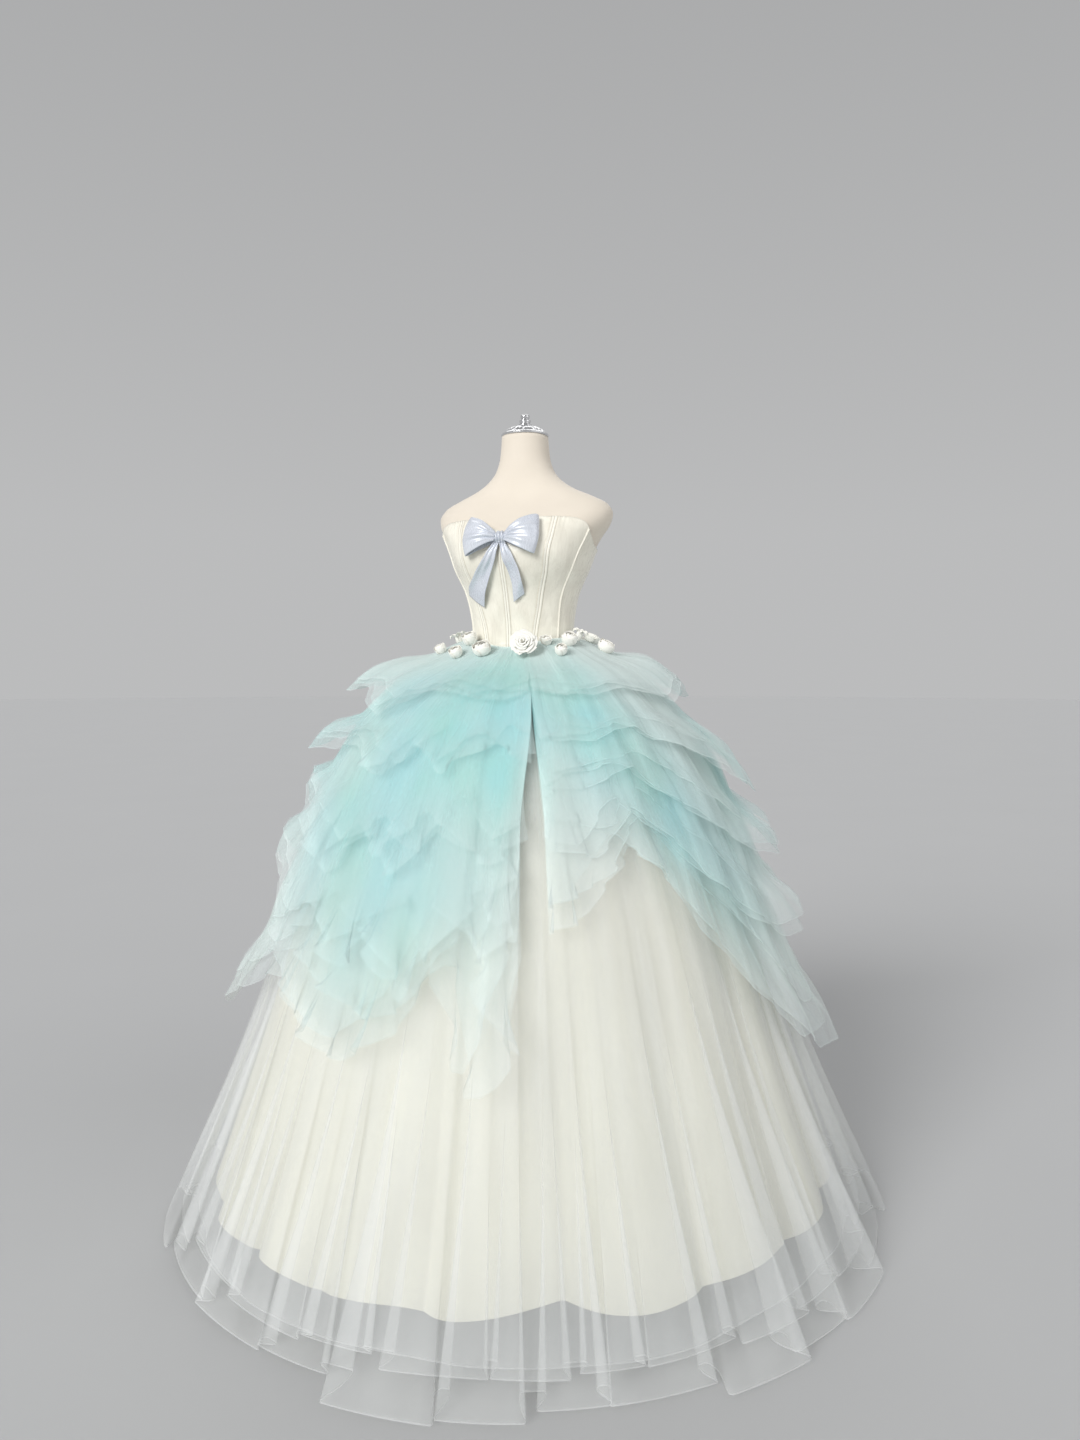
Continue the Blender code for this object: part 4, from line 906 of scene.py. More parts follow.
def foldShape(angle, folds, spread, turn=0.0):  # how far out, and how far each side leans over
    depth, swing = 0.0 * angle, 0.0 * angle
    for i in range(len(folds)):
        middle, half, crest, deep = foldAt(folds, i)
        off = np.degrees(turnBetween(angle, radians(middle + turn)))
        lift = ease((half - np.abs(off)) / (half - crest))
        before, after = foldAt(folds, i - 1), foldAt(folds, i + 1)
        room = min(middle - half - before[0] - before[1], after[0] - after[1] - middle - half)
        over = (half + spread * max(room, 0.0)) / crest - 1
        depth = depth + deep * lift
        swing = swing + radians(1) * off * over * lift ** 2
    return depth, swing


def outerGrowth(share):
    return np.clip((share - outerTulle["from"]) / (1 - outerTulle["from"]), 0, 1) ** outerTulle["growth"]


def foldCover(angle, share):  # the folds as cloth lying over them meets them
    steps = [radians(s) for s in (-6, -3, 0, 3, 6)]
    cover = [foldShape(angle + s, outerFolds, outerTulle["spread"])[0] for s in steps]
    return np.max(cover, axis=0) * outerGrowth(share)


def foldColumns(folds, first, last, counts, turn=0.0):  # close on a fold's sides, few elsewhere
    def groundBefore(i):
        before, after = foldAt(folds, i - 1), foldAt(folds, i)
        return (before[0] + before[1] + after[0] - after[1]) / 2

    spots = []
    for i in range(first, last):
        middle, half, crest, _ = foldAt(folds, i)
        stops = [groundBefore(i), middle - half, middle - crest, middle + crest, middle + half,
                 groundBefore(i + 1)]
        for (low, high), count in zip(zip(stops, stops[1:]), counts):
            spots += np.linspace(low, high, count, endpoint=False).tolist()
    spots.append(groundBefore(last))
    return np.radians(np.array(spots) + turn)


def buildOuterWidth(word, first, last, plyWord):
    ply = outerPlies[plyWord]
    seed = ply["seed"]
    level = rowShares(outerTulle["rows"], 1.35)
    angle = foldColumns(outerFolds, first, last, outerTulle["foldColumns"], ply["turn"])
    hem = ply["hem"] - ply["uneven"] * (0.5 + 0.5 * ringNoise(seed, 28, angle))
    share = level * hem
    depth, swing = foldShape(angle, outerFolds, outerTulle["spread"], ply["turn"])
    depth, swing = depth * ply["deep"] * outerGrowth(share), swing * outerGrowth(share)
    grown = ease((share - outerTulle["softFrom"]) / (1 - outerTulle["softFrom"]))
    outward = layer("outer", share) + ply["inset"] * ease(share / 0.2)
    outward = outward + netGather(angle, share, seed + 3)
    outward = outward + outerTulle["soft"] * grown * ringNoise(seed + 1, 36, angle, share * 1.5)
    swing = swing + outerTulle["sway"] * grown * ringNoise(seed + 2, 32, angle, share)
    grid = skirtPoint(angle, share, outward, depth, swing)
    marks = {"edge": hemMark(level, hem), "full": fullness(share)}
    name = "outerTulle" + word
    hangCloth(name + plyWord, nodeName(name), grid, marks, "outerTulle")


def buildOuterTulle():
    starts = [*outerTulle["widths"].values(), outerTulle["widths"]["Front"] + len(outerFolds)]
    for plyWord in outerPlies:
        for k, word in enumerate(outerTulle["widths"]):
            buildOuterWidth(word, starts[k], starts[k + 1], plyWord)


buildSatinSkirt()
buildMiddleTulle()
buildOuterTulle()
print("skirts made")


# overlay: five dyed tiers with handkerchief hems, open at a slit in front
# corners and notches of each hem: angle, height, how far it stands out
tiers = {
    "first": {
        "Left": ((24, 0.645, 0.004), (34, 0.675, 0.006), (46, 0.79, 0.004), (56, 0.70, 0.006),
                 (66, 0.58, 0.008), (76, 0.47, 0.012), (86, 0.36, 0.018), (101, 0.33, 0.022),
                 (112, 0.43, 0.018), (125, 0.36, 0.022), (140, 0.47, 0.010), (160, 0.38, 0.020),
                 (182, 0.48, 0.010), (204, 0.42, 0.010)),
        "Right": ((-156, 0.48, 0.010), (-137, 0.40, 0.022), (-119, 0.52, 0.010),
                  (-101, 0.41, 0.024), (-84, 0.50, 0.014), (-69, 0.37, 0.034), (-52, 0.46, 0.016),
                  (-37, 0.53, 0.008), (-24, 0.47, 0.010), (-12, 0.42, 0.014), (-4, 0.48, 0.010),
                  (7, 0.62, 0.006), (15, 0.38, 0.016), (24, 0.62, 0.004)),
    },
    "second": {
        "Left": ((24, 0.78, 0.004), (37, 0.76, 0.008), (47, 0.845, 0.004), (59, 0.76, 0.008),
                 (75, 0.63, 0.014), (90, 0.56, 0.020), (105, 0.545, 0.038), (126, 0.66, 0.010),
                 (145, 0.55, 0.024), (170, 0.66, 0.010), (188, 0.58, 0.018), (204, 0.62, 0.010)),
        "Right": ((-156, 0.65, 0.010), (-131, 0.56, 0.022), (-110, 0.68, 0.012),
                  (-90, 0.60, 0.018), (-71, 0.69, 0.038), (-56, 0.65, 0.012), (-41, 0.57, 0.014),
                  (-26, 0.64, 0.008), (-17, 0.57, 0.010), (-9, 0.64, 0.010), (-1, 0.53, 0.014),
                  (8, 0.68, 0.006), (14, 0.59, 0.012), (24, 0.72, 0.004)),
    },
    "third": {
        "Left": ((24, 0.86, 0.004), (38, 0.88, 0.006), (50, 0.90, 0.006), (65, 0.82, 0.012),
                 (84, 0.73, 0.018), (105, 0.685, 0.040), (119, 0.76, 0.016), (135, 0.69, 0.024),
                 (156, 0.79, 0.012), (180, 0.70, 0.022), (204, 0.76, 0.010)),
        "Right": ((-156, 0.77, 0.010), (-134, 0.70, 0.024), (-111, 0.81, 0.012),
                  (-91, 0.74, 0.020), (-72, 0.83, 0.028), (-57, 0.80, 0.016), (-43, 0.775, 0.012),
                  (-26, 0.71, 0.012), (-17, 0.79, 0.010), (-8, 0.715, 0.012), (2, 0.82, 0.008),
                  (12, 0.74, 0.010), (24, 0.80, 0.004)),
    },
    "fourth": {
        "Left": ((24, 0.95, 0.004), (40, 0.945, 0.006), (55, 0.97, 0.008), (76, 0.90, 0.016),
                 (104, 0.805, 0.034), (116, 0.88, 0.018), (130, 0.93, 0.014), (149, 0.84, 0.026),
                 (175, 0.92, 0.012), (204, 0.85, 0.010)),
        "Right": ((-156, 0.86, 0.010), (-128, 0.94, 0.012), (-104, 0.86, 0.024),
                  (-84, 0.93, 0.018), (-66, 0.89, 0.042), (-52, 0.91, 0.018), (-35, 0.93, 0.012),
                  (-19, 0.87, 0.012), (-9, 0.94, 0.008), (1, 0.88, 0.008), (12, 0.95, 0.008),
                  (24, 0.91, 0.004)),
    },
    "fifth": {
        "Left": ((24, 1.035, 0.004), (42, 1.02, 0.006), (60, 1.035, 0.010), (82, 1.00, 0.018),
                 (107, 1.040, 0.030), (121, 0.99, 0.026), (140, 1.03, 0.014), (165, 0.97, 0.022),
                 (204, 1.01, 0.010)),
        "Right": ((-156, 1.01, 0.010), (-120, 0.96, 0.022), (-94, 1.03, 0.020),
                  (-73, 0.995, 0.046), (-56, 1.02, 0.020), (-34, 0.98, 0.014), (-14, 1.03, 0.010),
                  (6, 1.01, 0.008), (24, 1.03, 0.004)),
    },
}
overlay = {
    "rows": 30, "foldColumns": (1, 3, 3, 3, 1), "endGap": 0.01, "spread": 0.12,
    "reach": 0.11, "flareFrom": 0.02, "clearance": 0.012, "standOut": 1.35, "flatten": 0.85,
    "slit": radians(24), "slitOpening": {"Left": radians(2.0), "Right": radians(-4.0)},
    "slitFrom": 0.07, "slitLength": 0.22, "slitReach": 9,
    "curl": 0.020, "puff": 0.012, "puffRise": 0.3, "puffFrom": 0.05, "fine": 0.9,
    "uneven": 0.005, "shortening": 0.3,
    "cover": 1.35, "hemCover": 0.62, "sideHemCover": 0.42, "hemEdge": 0.05, "sideHemEdge": 0.75,
    "hemDye": 0.35, "hemDyeFrom": 0.7,
    "plies": {  # turned, shorter, set back
        "": (0.0, 0.0, 0.0), "MiddlePly": (4.0, 0.020, -0.002), "UnderPly": (-4.0, 0.040, -0.005),
    },
}
overlayCut = {  # folds round the skirt and their depth, then the flat cut
    "first": {"folds": 32, "deep": 0.020, "flat": (1.95, 0.90), "area": 1.05},
    "second": {"folds": 30, "deep": 0.020, "flat": (1.80, 0.66), "area": 0.76},
    "third": {"folds": 27, "deep": 0.020, "flat": (1.65, 0.50), "area": 0.50},
    "fourth": {"folds": 24, "deep": 0.019, "flat": (1.45, 0.38), "area": 0.30},
    "fifth": {"folds": 21, "deep": 0.016, "flat": (1.20, 0.26), "area": 0.155},
}
dyePatches = {  # where the dye took: angle, height, half spread of each, strength
    "angle": (-5, 15, -26, -8, 45, 58, 70, 30, 100, 132, 165, 200, 240, 275, -60, -12, -35, 8),
    "height": (0.95, 0.95, 0.80, 0.68, 0.98, 0.82, 0.68, 1.02, 0.86, 0.92, 0.80, 0.93, 0.80, 0.90,
               0.92, 0.56, 1.03, 1.06),
    "spread": (24, 9, 20, 20, 12, 11, 13, 14, 18, 22, 24, 22, 24, 20, 16, 20, 26, 20),
    "drop": (0.15, 0.14, 0.14, 0.13, 0.12, 0.14, 0.13, 0.06, 0.16, 0.15, 0.16, 0.15, 0.15, 0.15,
             0.12, 0.13, 0.08, 0.06),
    "strength": (0.85, 0.9, 0.7, 0.7, 0.9, 0.9, 0.55, 0.5, 0.4, 0.8, 0.6, 0.8, 0.6, 0.6, 0.4, 0.65,
                 0.45, 0.6),
}


def dyeAt(angle, height):
    bare = 1.0 + 0 * angle * height
    for where, level, spread, drop, strength in zip(*dyePatches.values()):
        off = np.degrees(turnBetween(angle, radians(where))) / spread
        fall = (height - level) / drop
        bare = bare * (1 - strength * np.exp(-off * off - fall * fall))
    return 1 - bare


def tierColumn(tier, half, angle, column):
    table = np.array(tiers[tier][half])
    around = np.degrees(angle)
    spots = [np.interp(around + step, table[:, 0], table[:, column]) for step in (-1.4, 0, 1.4)]
    return (spots[0] + 2 * spots[1] + spots[2]) / 4


def tierHem(tier, half, angle):
    return 1 - tierColumn(tier, half, angle, 1) / waistHeight(angle)


def looseFolds(seed, count, deep):  # uneven folds all round
    dice = np.random.default_rng(seed)
    pitch = 360 / count
    folds = []
    for i in range(count):
        half = pitch * dice.uniform(0.27, 0.39)
        middle = pitch * (i + 0.5 + dice.uniform(-0.1, 0.1))
        folds.append((middle, half, half * dice.uniform(0.25, 0.6), deep * dice.uniform(0.25, 1.0)))
    return folds


def tierAngles(tier, half, folds):  # columns that follow the folds, from one edge to the other
    ends = np.radians([tiers[tier][half][0][0], tiers[tier][half][-1][0]])
    angle = foldColumns(folds, -len(folds), 2 * len(folds), overlay["foldColumns"])
    inside = (angle > ends[0] + overlay["endGap"]) & (angle < ends[1] - overlay["endGap"])
    return np.concatenate([ends[:1], angle[inside], ends[1:]])


def tierFlare(number, half, angle, share, hem):  # 0 where a tier lies close, 1 at its hem
    start = np.maximum(hem - overlay["reach"], overlay["flareFrom"])
    if number + 1 < len(tiers):  # it opens out below the tier above it
        upperHem = tierHem(list(tiers)[number + 1], half, angle)
        start = np.maximum(start, upperHem + overlay["clearance"])
    flared = np.clip((share - start) / np.maximum(hem - start, 0.01), 0, 1)
    return flared ** 2 + (ease(1.3 * flared) - flared ** 2) * np.sin(angle) ** 2


def slitSwing(half, angle, share):  # the slit's edges draw apart lower down
    opening = overlay["slitOpening"][half] * ease((share - overlay["slitFrom"]) / overlay["slitLength"])
    return opening * (1 - ease(np.degrees(np.abs(angle - overlay["slit"])) / overlay["slitReach"]))


def buildTier(number, tier, half, plyNumber, plyWord):
    turned, shorter, setBack = overlay["plies"][plyWord]
    cut = overlayCut[tier]
    seed = 200 + 10 * number + (5 if half == "Right" else 0) + 100 * plyNumber
    folds = looseFolds(seed, cut["folds"], cut["deep"])
    angle = tierAngles(tier, half, folds)
    sideways = np.sin(angle) ** 2
    level = rowShares(overlay["rows"], 1.2)
    hemFrom = np.clip(angle + radians(turned), angle[0], angle[-1])
    ragged = overlay["uneven"] * (1 - 0.8 * sideways) * ringNoise(seed, 60, angle)
    hem = (tierHem(tier, half, hemFrom) + ragged) * (1 - 2 * shorter) - shorter * overlay["shortening"]
    share = level * hem
    flared = tierFlare(number, half, angle, share, hem)
    opened = ease(share / 0.06) * np.clip(share / 0.5, 0.0, 1.0) ** 0.6
    stiff = 1 - overlay["flatten"] * flared * sideways  # the flaps at the sides stand out flat
    depth, swing = foldShape(angle, folds, overlay["spread"])
    depth, swing = depth * opened * (0.7 + 0.3 * flared) * stiff, swing * opened * flared * stiff
    outward = layer(tier, share) + setBack * ease(share / 0.15) + depth
    outward = outward + overlay["standOut"] * flared * tierColumn(tier, half, hemFrom, 2)
    outward = outward + overlay["fine"] * gatherDepth(angle, share, seed, 4)
    cloud = overlay["puffRise"] + ringNoise(seed + 1, 30, angle, share * 9)
    outward = outward + overlay["puff"] * ease((share - overlay["puffFrom"]) / 0.15) * cloud
    sway = ringNoise(seed + 2, 34, angle, share * 3)
    swing = swing + overlay["curl"] * flared * (1 - 0.6 * sideways) * sway
    swing = swing + slitSwing(half, angle, share)
    grid = skirtPoint(angle, share, outward, foldCover(angle, share), swing)
    hemCover = overlay["hemCover"] + overlay["sideHemCover"] * sideways
    paler = overlay["hemDye"] * ease((level - overlay["hemDyeFrom"]) / (1 - overlay["hemDyeFrom"]))
    marks = {
        "dye": dyeAt(angle, grid[..., 2]) * (1 - paler),
        "edge": hemMark(level, hem, 0.003) * (overlay["hemEdge"] + overlay["sideHemEdge"] * sideways),
        "full": overlay["cover"] + (hemCover - overlay["cover"]) * ease((level - 0.1) / 0.9),
    }
    name = "overlay" + tier.title() + half
    hangCloth(name + plyWord, nodeName(name), grid, marks, "dyedTulle")


def buildOverlay():
    for number, tier in enumerate(tiers):
        for half in ("Left", "Right"):
            for plyNumber, plyWord in enumerate(overlay["plies"]):
                buildTier(number, tier, half, plyNumber, plyWord)


buildOverlay()
print("overlay made")


# bow of satin ribbon: a loop's run out to its end and back behind
bow = {
    "height": 1.353, "cloth": 0.0006, "under": "bodiceFrontLeft",
    "reach": (0.0100, 0.0240, 0.0400, 0.0560, 0.0665, 0.0700, 0.0670, 0.0540, 0.0340, 0.0100),
    "outward": (0.0110, 0.0180, 0.0205, 0.0190, 0.0150, 0.0095, 0.0045, 0.0022, 0.0012, 0.0016),
    "half": (0.0085, 0.0150, 0.0225, 0.0285, 0.0325, 0.0335, 0.0325, 0.0270, 0.0190, 0.0085),
    "rise": (0.0, 0.0005, 0.0010, 0.0010, 0.0010, 0.0010, 0.0010, 0.0010, 0.0005, 0.0),
    "lean": {"Left": 0.0020, "Right": 0.0015}, "phase": {"Left": 1.7, "Right": 0.4},
    "corner": 0.006, "puff": 0.003, "fan": 0.0022, "loopFlat": (0.075, 0.155),
    "rows": 64, "columns": 47,
}
bowCreases = {  # across at the loop's end, width there, depth, share of the way they reach
    "Left": ((-0.62, 0.17, 0.0030, 0.80), (-0.12, 0.14, 0.0022, 0.50), (0.30, 0.18, 0.0034, 0.9),
             (0.74, 0.12, 0.0020, 0.65)),
    "Right": ((-0.70, 0.14, 0.0022, 0.70), (-0.25, 0.18, 0.0034, 0.9), (0.22, 0.14, 0.0022, 0.56),
              (0.62, 0.16, 0.0028, 0.80)),
}
tails = {  # drop, reach, half width, outward; then the slant of the cut, its twist and flat size
    "Left": (((0.006, 0.0040, 0.0050, 0.0050), (0.036, 0.0180, 0.0108, 0.0065),
              (0.060, 0.0250, 0.0117, 0.0034), (0.088, 0.0280, 0.0104, 0.0054),
              (0.114, 0.0275, 0.0108, 0.0022)), 0.008, 0.0035, (0.025, 0.120)),
    "Right": (((0.006, -0.0045, 0.0050, 0.0050), (0.036, -0.0210, 0.0123, 0.0075),
               (0.064, -0.0390, 0.0163, 0.0042), (0.092, -0.0550, 0.0183, 0.0060),
               (0.118, -0.0660, 0.0193, 0.0022)), -0.013, 0.00105, (0.036, 0.134)),
    "pleat": 0.0020, "curl": 0.0018, "wave": 0.0016, "rows": 48, "columns": 25,
}
knot = {
    "wide": 0.0108, "deep": 0.0075, "tall": 0.0120, "seat": 0.0035, "wrap": 0.62 * pi,
    "pleat": 0.0011, "crossPleat": 0.0008, "nip": 0.28, "flat": (0.030, 0.045),
    "rows": 36, "columns": 33,
}


def overBodice(reach, height, outward):
    front = torsoRadius(0 * height, height)
    return torsoPoint(reach / front, height, bodice["ease"] + bodice["wall"] + outward)


def ribbonPiece(name, grid):
    piece = addPiece(name, patchMesh(name, [grid]), finish["ribbon"], [nodeName(name)],
                     wall=bow["cloth"])


def loopCreases(word, s, out):  # they run out from the knot
    creases = bow["fan"] * np.cos(2.6 * pi * s + bow["phase"][word]) * (1 - out) ** 1.6
    for place, wide, deep, far in bowCreases[word]:
        off = (s - place * (0.75 + 0.25 * out)) / (wide * (0.55 + 0.45 * out))
        window = ease((out - 0.12) / 0.25) * ease((far - out) / 0.3 + 0.5)
        creases = creases + deep * window * (hump(off) - 0.6 * hump(off - 1.9))
    return creases


def buildLoop(side, word):
    t = np.linspace(0, len(bow["reach"]) - 1, bow["rows"])[:, None]
    s = np.linspace(-1, 1, bow["columns"])
    reach, outward, half, rise = (
        readCurve(range(len(bow[c])), bow[c], t) for c in ("reach", "outward", "half", "rise"))
    front = ease((5.2 - t) / 1.2)
    out = reach / max(bow["reach"])
    creases = loopCreases(word, s, out)
    puff = bow["puff"] * (1 - s * s) * np.sin(pi * np.clip(t / 5, 0, 1)) * front
    corner = bow["corner"] * out ** 2 * s * s
    height = bow["height"] + rise + s * half + bow["lean"][word] * out ** 2
    relief = outward + puff + creases * front + 0.3 * creases * (1 - front)
    grid = overBodice(side * (reach - corner), height, relief)
    ribbonPiece("bowLoop" + word, grid[:, ::-side])


def buildTail(word):
    table, cut, twist, flat = tails[word]
    table, phase = np.array(table), bow["phase"][word]
    v = np.linspace(0, 1, tails["rows"])[:, None]
    w = np.linspace(-1, 1, tails["columns"])
    drop = table[0, 0] + v * (table[-1, 0] - table[0, 0])
    reach, half, outward = (readCurve(table[:, 0], table[:, k], drop) for k in (1, 2, 3))
    fall = drop - w * cut * ease((drop - 0.06) / 0.06)
    pleat = tails["pleat"] * np.cos(2.4 * pi * w + phase) * (1 - v) ** 2
    curl = tails["curl"] * w * w + tails["wave"] * np.sin(w * 2.4 + 7 * v + phase) * ease(v / 0.3)
    turn = twist * w * np.sin(pi * np.clip((v - 0.35) / 0.5, 0, 1))
    grid = overBodice(reach + w * half, bow["height"] - fall, outward + pleat + curl + turn)
    ribbonPiece("bowTail" + word, grid)


def buildKnot():
    turn = np.linspace(-knot["wrap"], knot["wrap"], knot["rows"])[:, None]
    w = np.linspace(-1, 1, knot["columns"])
    pleats = knot["pleat"] * np.cos(3.5 * pi * w + 0.8 * np.sin(2 * turn))
    pleats = pleats + knot["crossPleat"] * np.cos(9 * w + 3 * turn)
    belly = (1 - knot["nip"] * w * w * np.cos(turn)) * (1 + pleats / knot["deep"])
    middle = np.array(bow["height"])
    seat = overBodice(0.0, middle, knot["seat"])
    facing = overBodice(0.0, middle, 1 + knot["seat"]) - seat
    upward = np.cross([1, 0, 0], facing)
    across = w * knot["wide"] * (0.92 + 0.08 * np.cos(turn))
    grid = seat + across[..., None] * np.array([1, 0, 0])
    grid = grid + (knot["deep"] * 1.55 * belly * np.cos(turn))[..., None] * facing
    grid = grid - (knot["tall"] * 0.92 * belly * np.sin(turn))[..., None] * upward
    ribbonPiece("bowKnot", grid)


for bowSide, bowWord in ((1, "Left"), (-1, "Right")):
    buildLoop(bowSide, bowWord)
    buildTail(bowWord)
buildKnot()
print("bow made")


# fabric flowers along the waist
flowers = {  # angle, share, radius, height, tilt, kind
    1: (23, 0.0150, 0.0290, 0.031, 38, "openRose"), 2: (43, 0.0070, 0.0110, 0.014, 0, "puff"),
    3: (47, 0.0260, 0.0125, 0.016, 0, "ball"), 4: (61, 0.0110, 0.0165, 0.019, 0, "ball"),
    5: (79, 0.0055, 0.0150, 0.022, 0, "lily"), 6: (86, 0.0250, 0.0180, 0.018, 0, "ball"),
    7: (109, 0.0100, 0.0175, 0.018, 0, "rose"), 8: (137, 0.0130, 0.0160, 0.018, 0, "ball"),
    9: (164, 0.0080, 0.0190, 0.018, 0, "rose"), 10: (193, 0.0130, 0.0160, 0.019, 0, "ball"),
    11: (221, 0.0080, 0.0180, 0.017, 0, "rose"), 12: (250, 0.0120, 0.0165, 0.018, 0, "ball"),
    13: (277, 0.0080, 0.0170, 0.020, 0, "lily"), 14: (-57, 0.0250, 0.0125, 0.015, 0, "ball"),
    15: (-44, 0.0055, 0.0155, 0.019, 0, "ball"), 16: (-35, 0.0260, 0.0140, 0.016, 0, "ball"),
    17: (-17, 0.0150, 0.0195, 0.019, 0, "ball"),
}
flowerSeat = {"lift": 0.0012, "turnStep": 0.02, "shareStep": 0.004, "over": 0.015, "cloth": 0.0004}
petalKinds = {  # petals, their angular half width, inner and outer top angle, squash, rim curl
    "ball": {"petals": 13, "wide": 1.25, "topIn": 8, "topOut": 60, "squash": 0.86, "curl": 0.10},
    "rose": {"petals": 23, "wide": 1.05, "topIn": 8, "topOut": 80, "squash": 0.74, "curl": 0.16},
    "puff": {"petals": 11, "wide": 0.85, "topIn": 15, "topOut": 70, "squash": 0.90, "curl": 0.28},
}
openPetals = {"lily": 7, "openRose": 15, "heart": (0.45, 0.8), "turn": 2.399, "shift": 0.2}


def petalSpots(around, out, up):
    return np.stack([np.cos(around) * out, np.sin(around) * out, up + 0 * around], -1)


def lilyPetals(radius, height, dice):
    b = np.linspace(0, 1, 14)[:, None]
    a = np.linspace(-1, 1, 11)
    petals = []
    for k in range(openPetals["lily"]):
        around = 2 * pi * k / openPetals["lily"] + dice.uniform(-0.15, 0.15)
        around = around + a * 0.62 * np.sin(pi * b ** 0.8) ** 0.8
        out = radius * (0.12 + 0.98 * b ** (1.1 + 0.3 * (k % 2)))
        up = height * (1.15 * np.sin(0.5 * pi * b ** 0.7) - 0.35 * b ** 4 - 0.15 * (1 - a * a) * b)
        petals.append(petalSpots(around, out, up))
    return petals


def openRosePetals(radius, height, dice):
    b = np.linspace(0, 1, 12)[:, None]
    a = np.linspace(-1, 1, 17)
    petals = []
    for k in range(openPetals["openRose"]):
        grown = k / (openPetals["openRose"] - 1)
        tip, foot = radius * (0.10 + 0.92 * grown ** 0.85), radius * (0.02 + 0.40 * grown)
        top = height * (0.96 - 0.42 * grown ** 1.4)
        reach = b * (1 - 0.16 * a ** 4 + 0.03 * np.sin(4 * a + k))
        around = openPetals["turn"] * k + dice.uniform(-openPetals["shift"], openPetals["shift"])
        around = around + a * (1.5 - 0.55 * grown)
        lip = ease((reach - 0.72) / 0.28)
        out = foot + (tip - foot) * reach ** 1.5 + radius * 0.05 * lip * (1 + 0.5 * np.sin(3 * a + k))
        up = top * (0.35 + 0.65 * (1 - (1 - reach) ** 1.8)) - 0.06 * height * lip
        petals.append(petalSpots(around + 0 * b, out, up))
    return petals


def cuppedPetals(look, radius, height, dice):  # petals that close over each other
    b = np.linspace(0, 1, 9)[:, None]
    a = np.linspace(-1, 1, 9)
    petals = []
    for k in range(look["petals"]):
        grown = k / (look["petals"] - 1)
        size = radius * (0.34 + 0.66 * grown ** 0.8)
        top = radians(look["topIn"] + (look["topOut"] - look["topIn"]) * grown ** 1.3)
        start = openPetals["turn"] * k + dice.uniform(-openPetals["shift"], openPetals["shift"])
        arch = top + 0.22 * a * a + 0.05 * np.sin(5 * a + k)
        polar = radians(150) + (arch - radians(150)) * b
        around = start + a * look["wide"] * (0.75 + 0.25 * np.sin(pi * b))
        lip = 1 + look["curl"] * ease((b - 0.72) / 0.28) + 0.05 * np.sin(3 * a + 1.3 * k) * b
        out = size * np.sin(polar) * lip * (1 + 0.04 * a)
        up = (look["squash"] * np.cos(polar) + 0.62) * height * (0.70 + 0.30 * grown)
        petals.append(petalSpots(around, out, up))
    return petals


def flowerPetals(kind, radius, height, seed):
    dice = np.random.default_rng(seed)
    if kind == "openRose":
        return openRosePetals(radius, height, dice)
    if kind == "lily":  # round a small closed heart
        petals = lilyPetals(radius, height, dice)
        narrow, low = openPetals["heart"]
        return petals + cuppedPetals(petalKinds["ball"], radius * narrow, height * low, dice)
    return cuppedPetals(petalKinds[kind], radius, height, dice)


def waistDirection(angle, share):  # straight off the skirt there
    turn, step = flowerSeat["turnStep"], flowerSeat["shareStep"]
    ways = (((angle - turn, angle + turn), (share, share)),
            ((angle, angle), (share + step, max(share - step, 0.0))))
    side, rise = (np.diff(skirtPoint(np.array(a), np.array(s), flowerSeat["over"]), axis=0)[0]
                  for a, s in ways)
    return Vector(np.cross(side, rise)).normalized()


def buildFlowers():
    for number, (where, share, radius, height, tilt, kind) in flowers.items():
        angle = radians(where)
        offset = layer("fifth", share) + flowerSeat["lift"]
        seat = Vector(skirtPoint(np.array(angle), np.array(share), offset))
        outward = waistDirection(angle, share)
        facing = Matrix.Rotation(radians(tilt), 3, Vector((cos(angle), sin(angle), 0))) @ outward
        turn = facing.to_track_quat("Z", "Y").to_matrix().to_4x4()
        lift = max(radius * 1.05 * sin(radians(tilt)) - 0.006, 0.0)
        name = f"waistFlower{number:02d}"
        mesh = patchMesh(name, flowerPetals(kind, radius, height, 700 + number))
        mesh.transform(Matrix.Translation(seat + outward * lift) @ turn)
        addPiece(name, mesh, finish["rose"], [f"waist_flower_{number:02d}"],
                 wall=flowerSeat["cloth"])


buildFlowers()
print("flowers made")


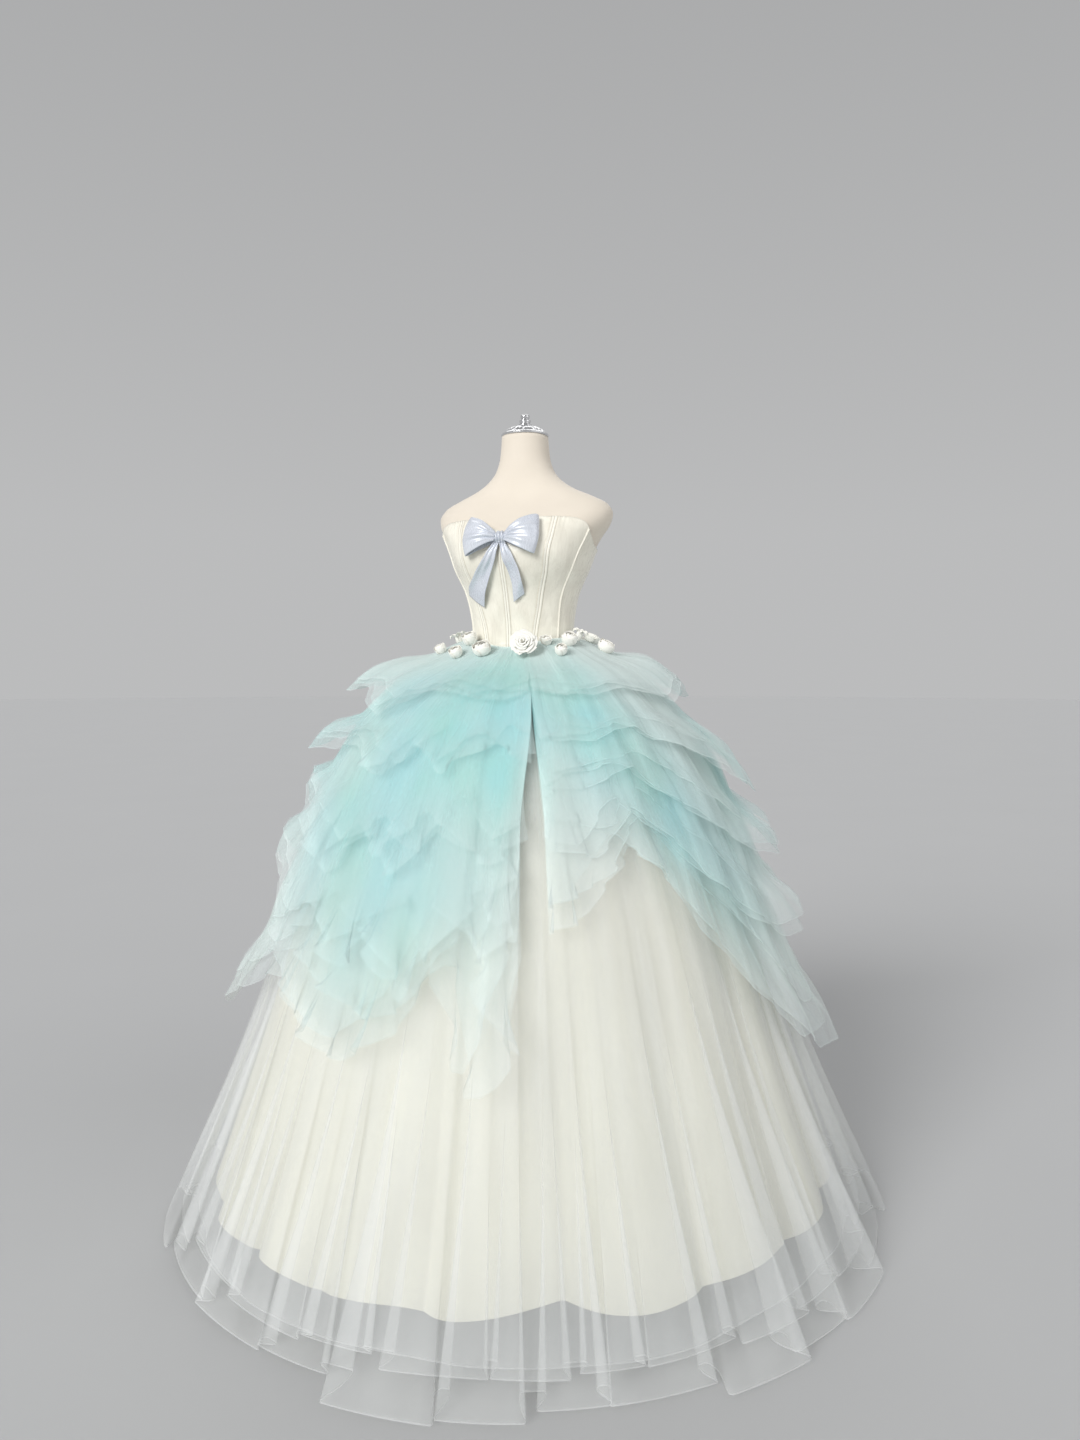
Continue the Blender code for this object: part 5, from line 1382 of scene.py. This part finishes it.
# floor, light and camera
studio = {
    "floor": (0.523, 0.526, 0.530, 1), "floorPatch": 0.8, "floorWorn": 0.97, "floorRadius": 40.0,
    "floorDrop": 0.0004, "horizon": (0.500, 0.503, 0.507, 1), "zenith": (0.32, 0.323, 0.327, 1),
    "skyEnds": (0.12, 0.9),
    "lights": {  # azimuth, elevation, softness in degrees, strength
        "keyLight": (-16, 26, 26, 2.36), "fillLight": (80, 22, 60, 0.62),
        "backLight": (200, 45, 40, 0.50),
    },
    "lens": 27.05, "cameraPlace": (0.809, -2.121, 1.097), "cameraDip": 2.74, "cameraTurn": 20.0,
}


def buildFloor():
    mesh = bpy.data.meshes.new("studioFloor")
    work = bmesh.new()
    bmesh.ops.create_circle(work, cap_ends=True, radius=studio["floorRadius"], segments=96)
    work.to_mesh(mesh)
    work.free()
    material, tree, shader = newFinish("floorFinish", roughness=0.9)
    pale = studio["floor"]
    look = {"patch": studio["floorPatch"], "light": pale, "deep": dimmed(pale, studio["floorWorn"])}
    paintPatches(tree, shader, look)
    mesh.materials.append(material)
    floor = bpy.data.objects.new("studioFloor", mesh)
    floor.location.z = -studio["floorDrop"]
    scene.collection.objects.link(floor)


def buildSky():
    world = bpy.data.worlds.new("studioSky")
    scene.world = world
    world.use_nodes = True
    tree = world.node_tree
    ray = addNode(tree, "TexCoord").outputs["Generated"]
    up = addNode(tree, "SeparateXYZ", {0: ray}).outputs["Z"]
    height = spreadOut(tree, up, *studio["skyEnds"])
    sky = mixColour(tree, height, studio["horizon"], studio["zenith"])
    tree.links.new(sky, tree.nodes["Background"].inputs["Color"])


def buildLights():
    for name, (azimuth, elevation, softness, strength) in studio["lights"].items():
        light = bpy.data.lights.new(name, "SUN")
        light.angle = radians(softness)
        light.energy = strength
        lamp = bpy.data.objects.new(name, light)
        a, e = radians(azimuth), radians(elevation)
        back = Vector((sin(a) * cos(e), -cos(a) * cos(e), sin(e)))
        lamp.location = back * 4
        lamp.rotation_euler = (-back).to_track_quat("-Z", "Y").to_euler()
        scene.collection.objects.link(lamp)


def buildCamera():
    lens = bpy.data.cameras.new("photoCamera")
    lens.lens = studio["lens"]
    lens.sensor_width = 36.0
    eye = bpy.data.objects.new("photoCamera", lens)
    eye.location = studio["cameraPlace"]
    eye.rotation_euler = (radians(90 - studio["cameraDip"]), 0, radians(studio["cameraTurn"]))
    scene.collection.objects.link(eye)
    scene.camera = eye


buildFloor()
buildSky()
buildLights()
buildCamera()
scene.view_settings.view_transform = "Standard"
scene.cycles.transparent_max_bounces = 64  # many plies of net lie over each other
print("studio made")
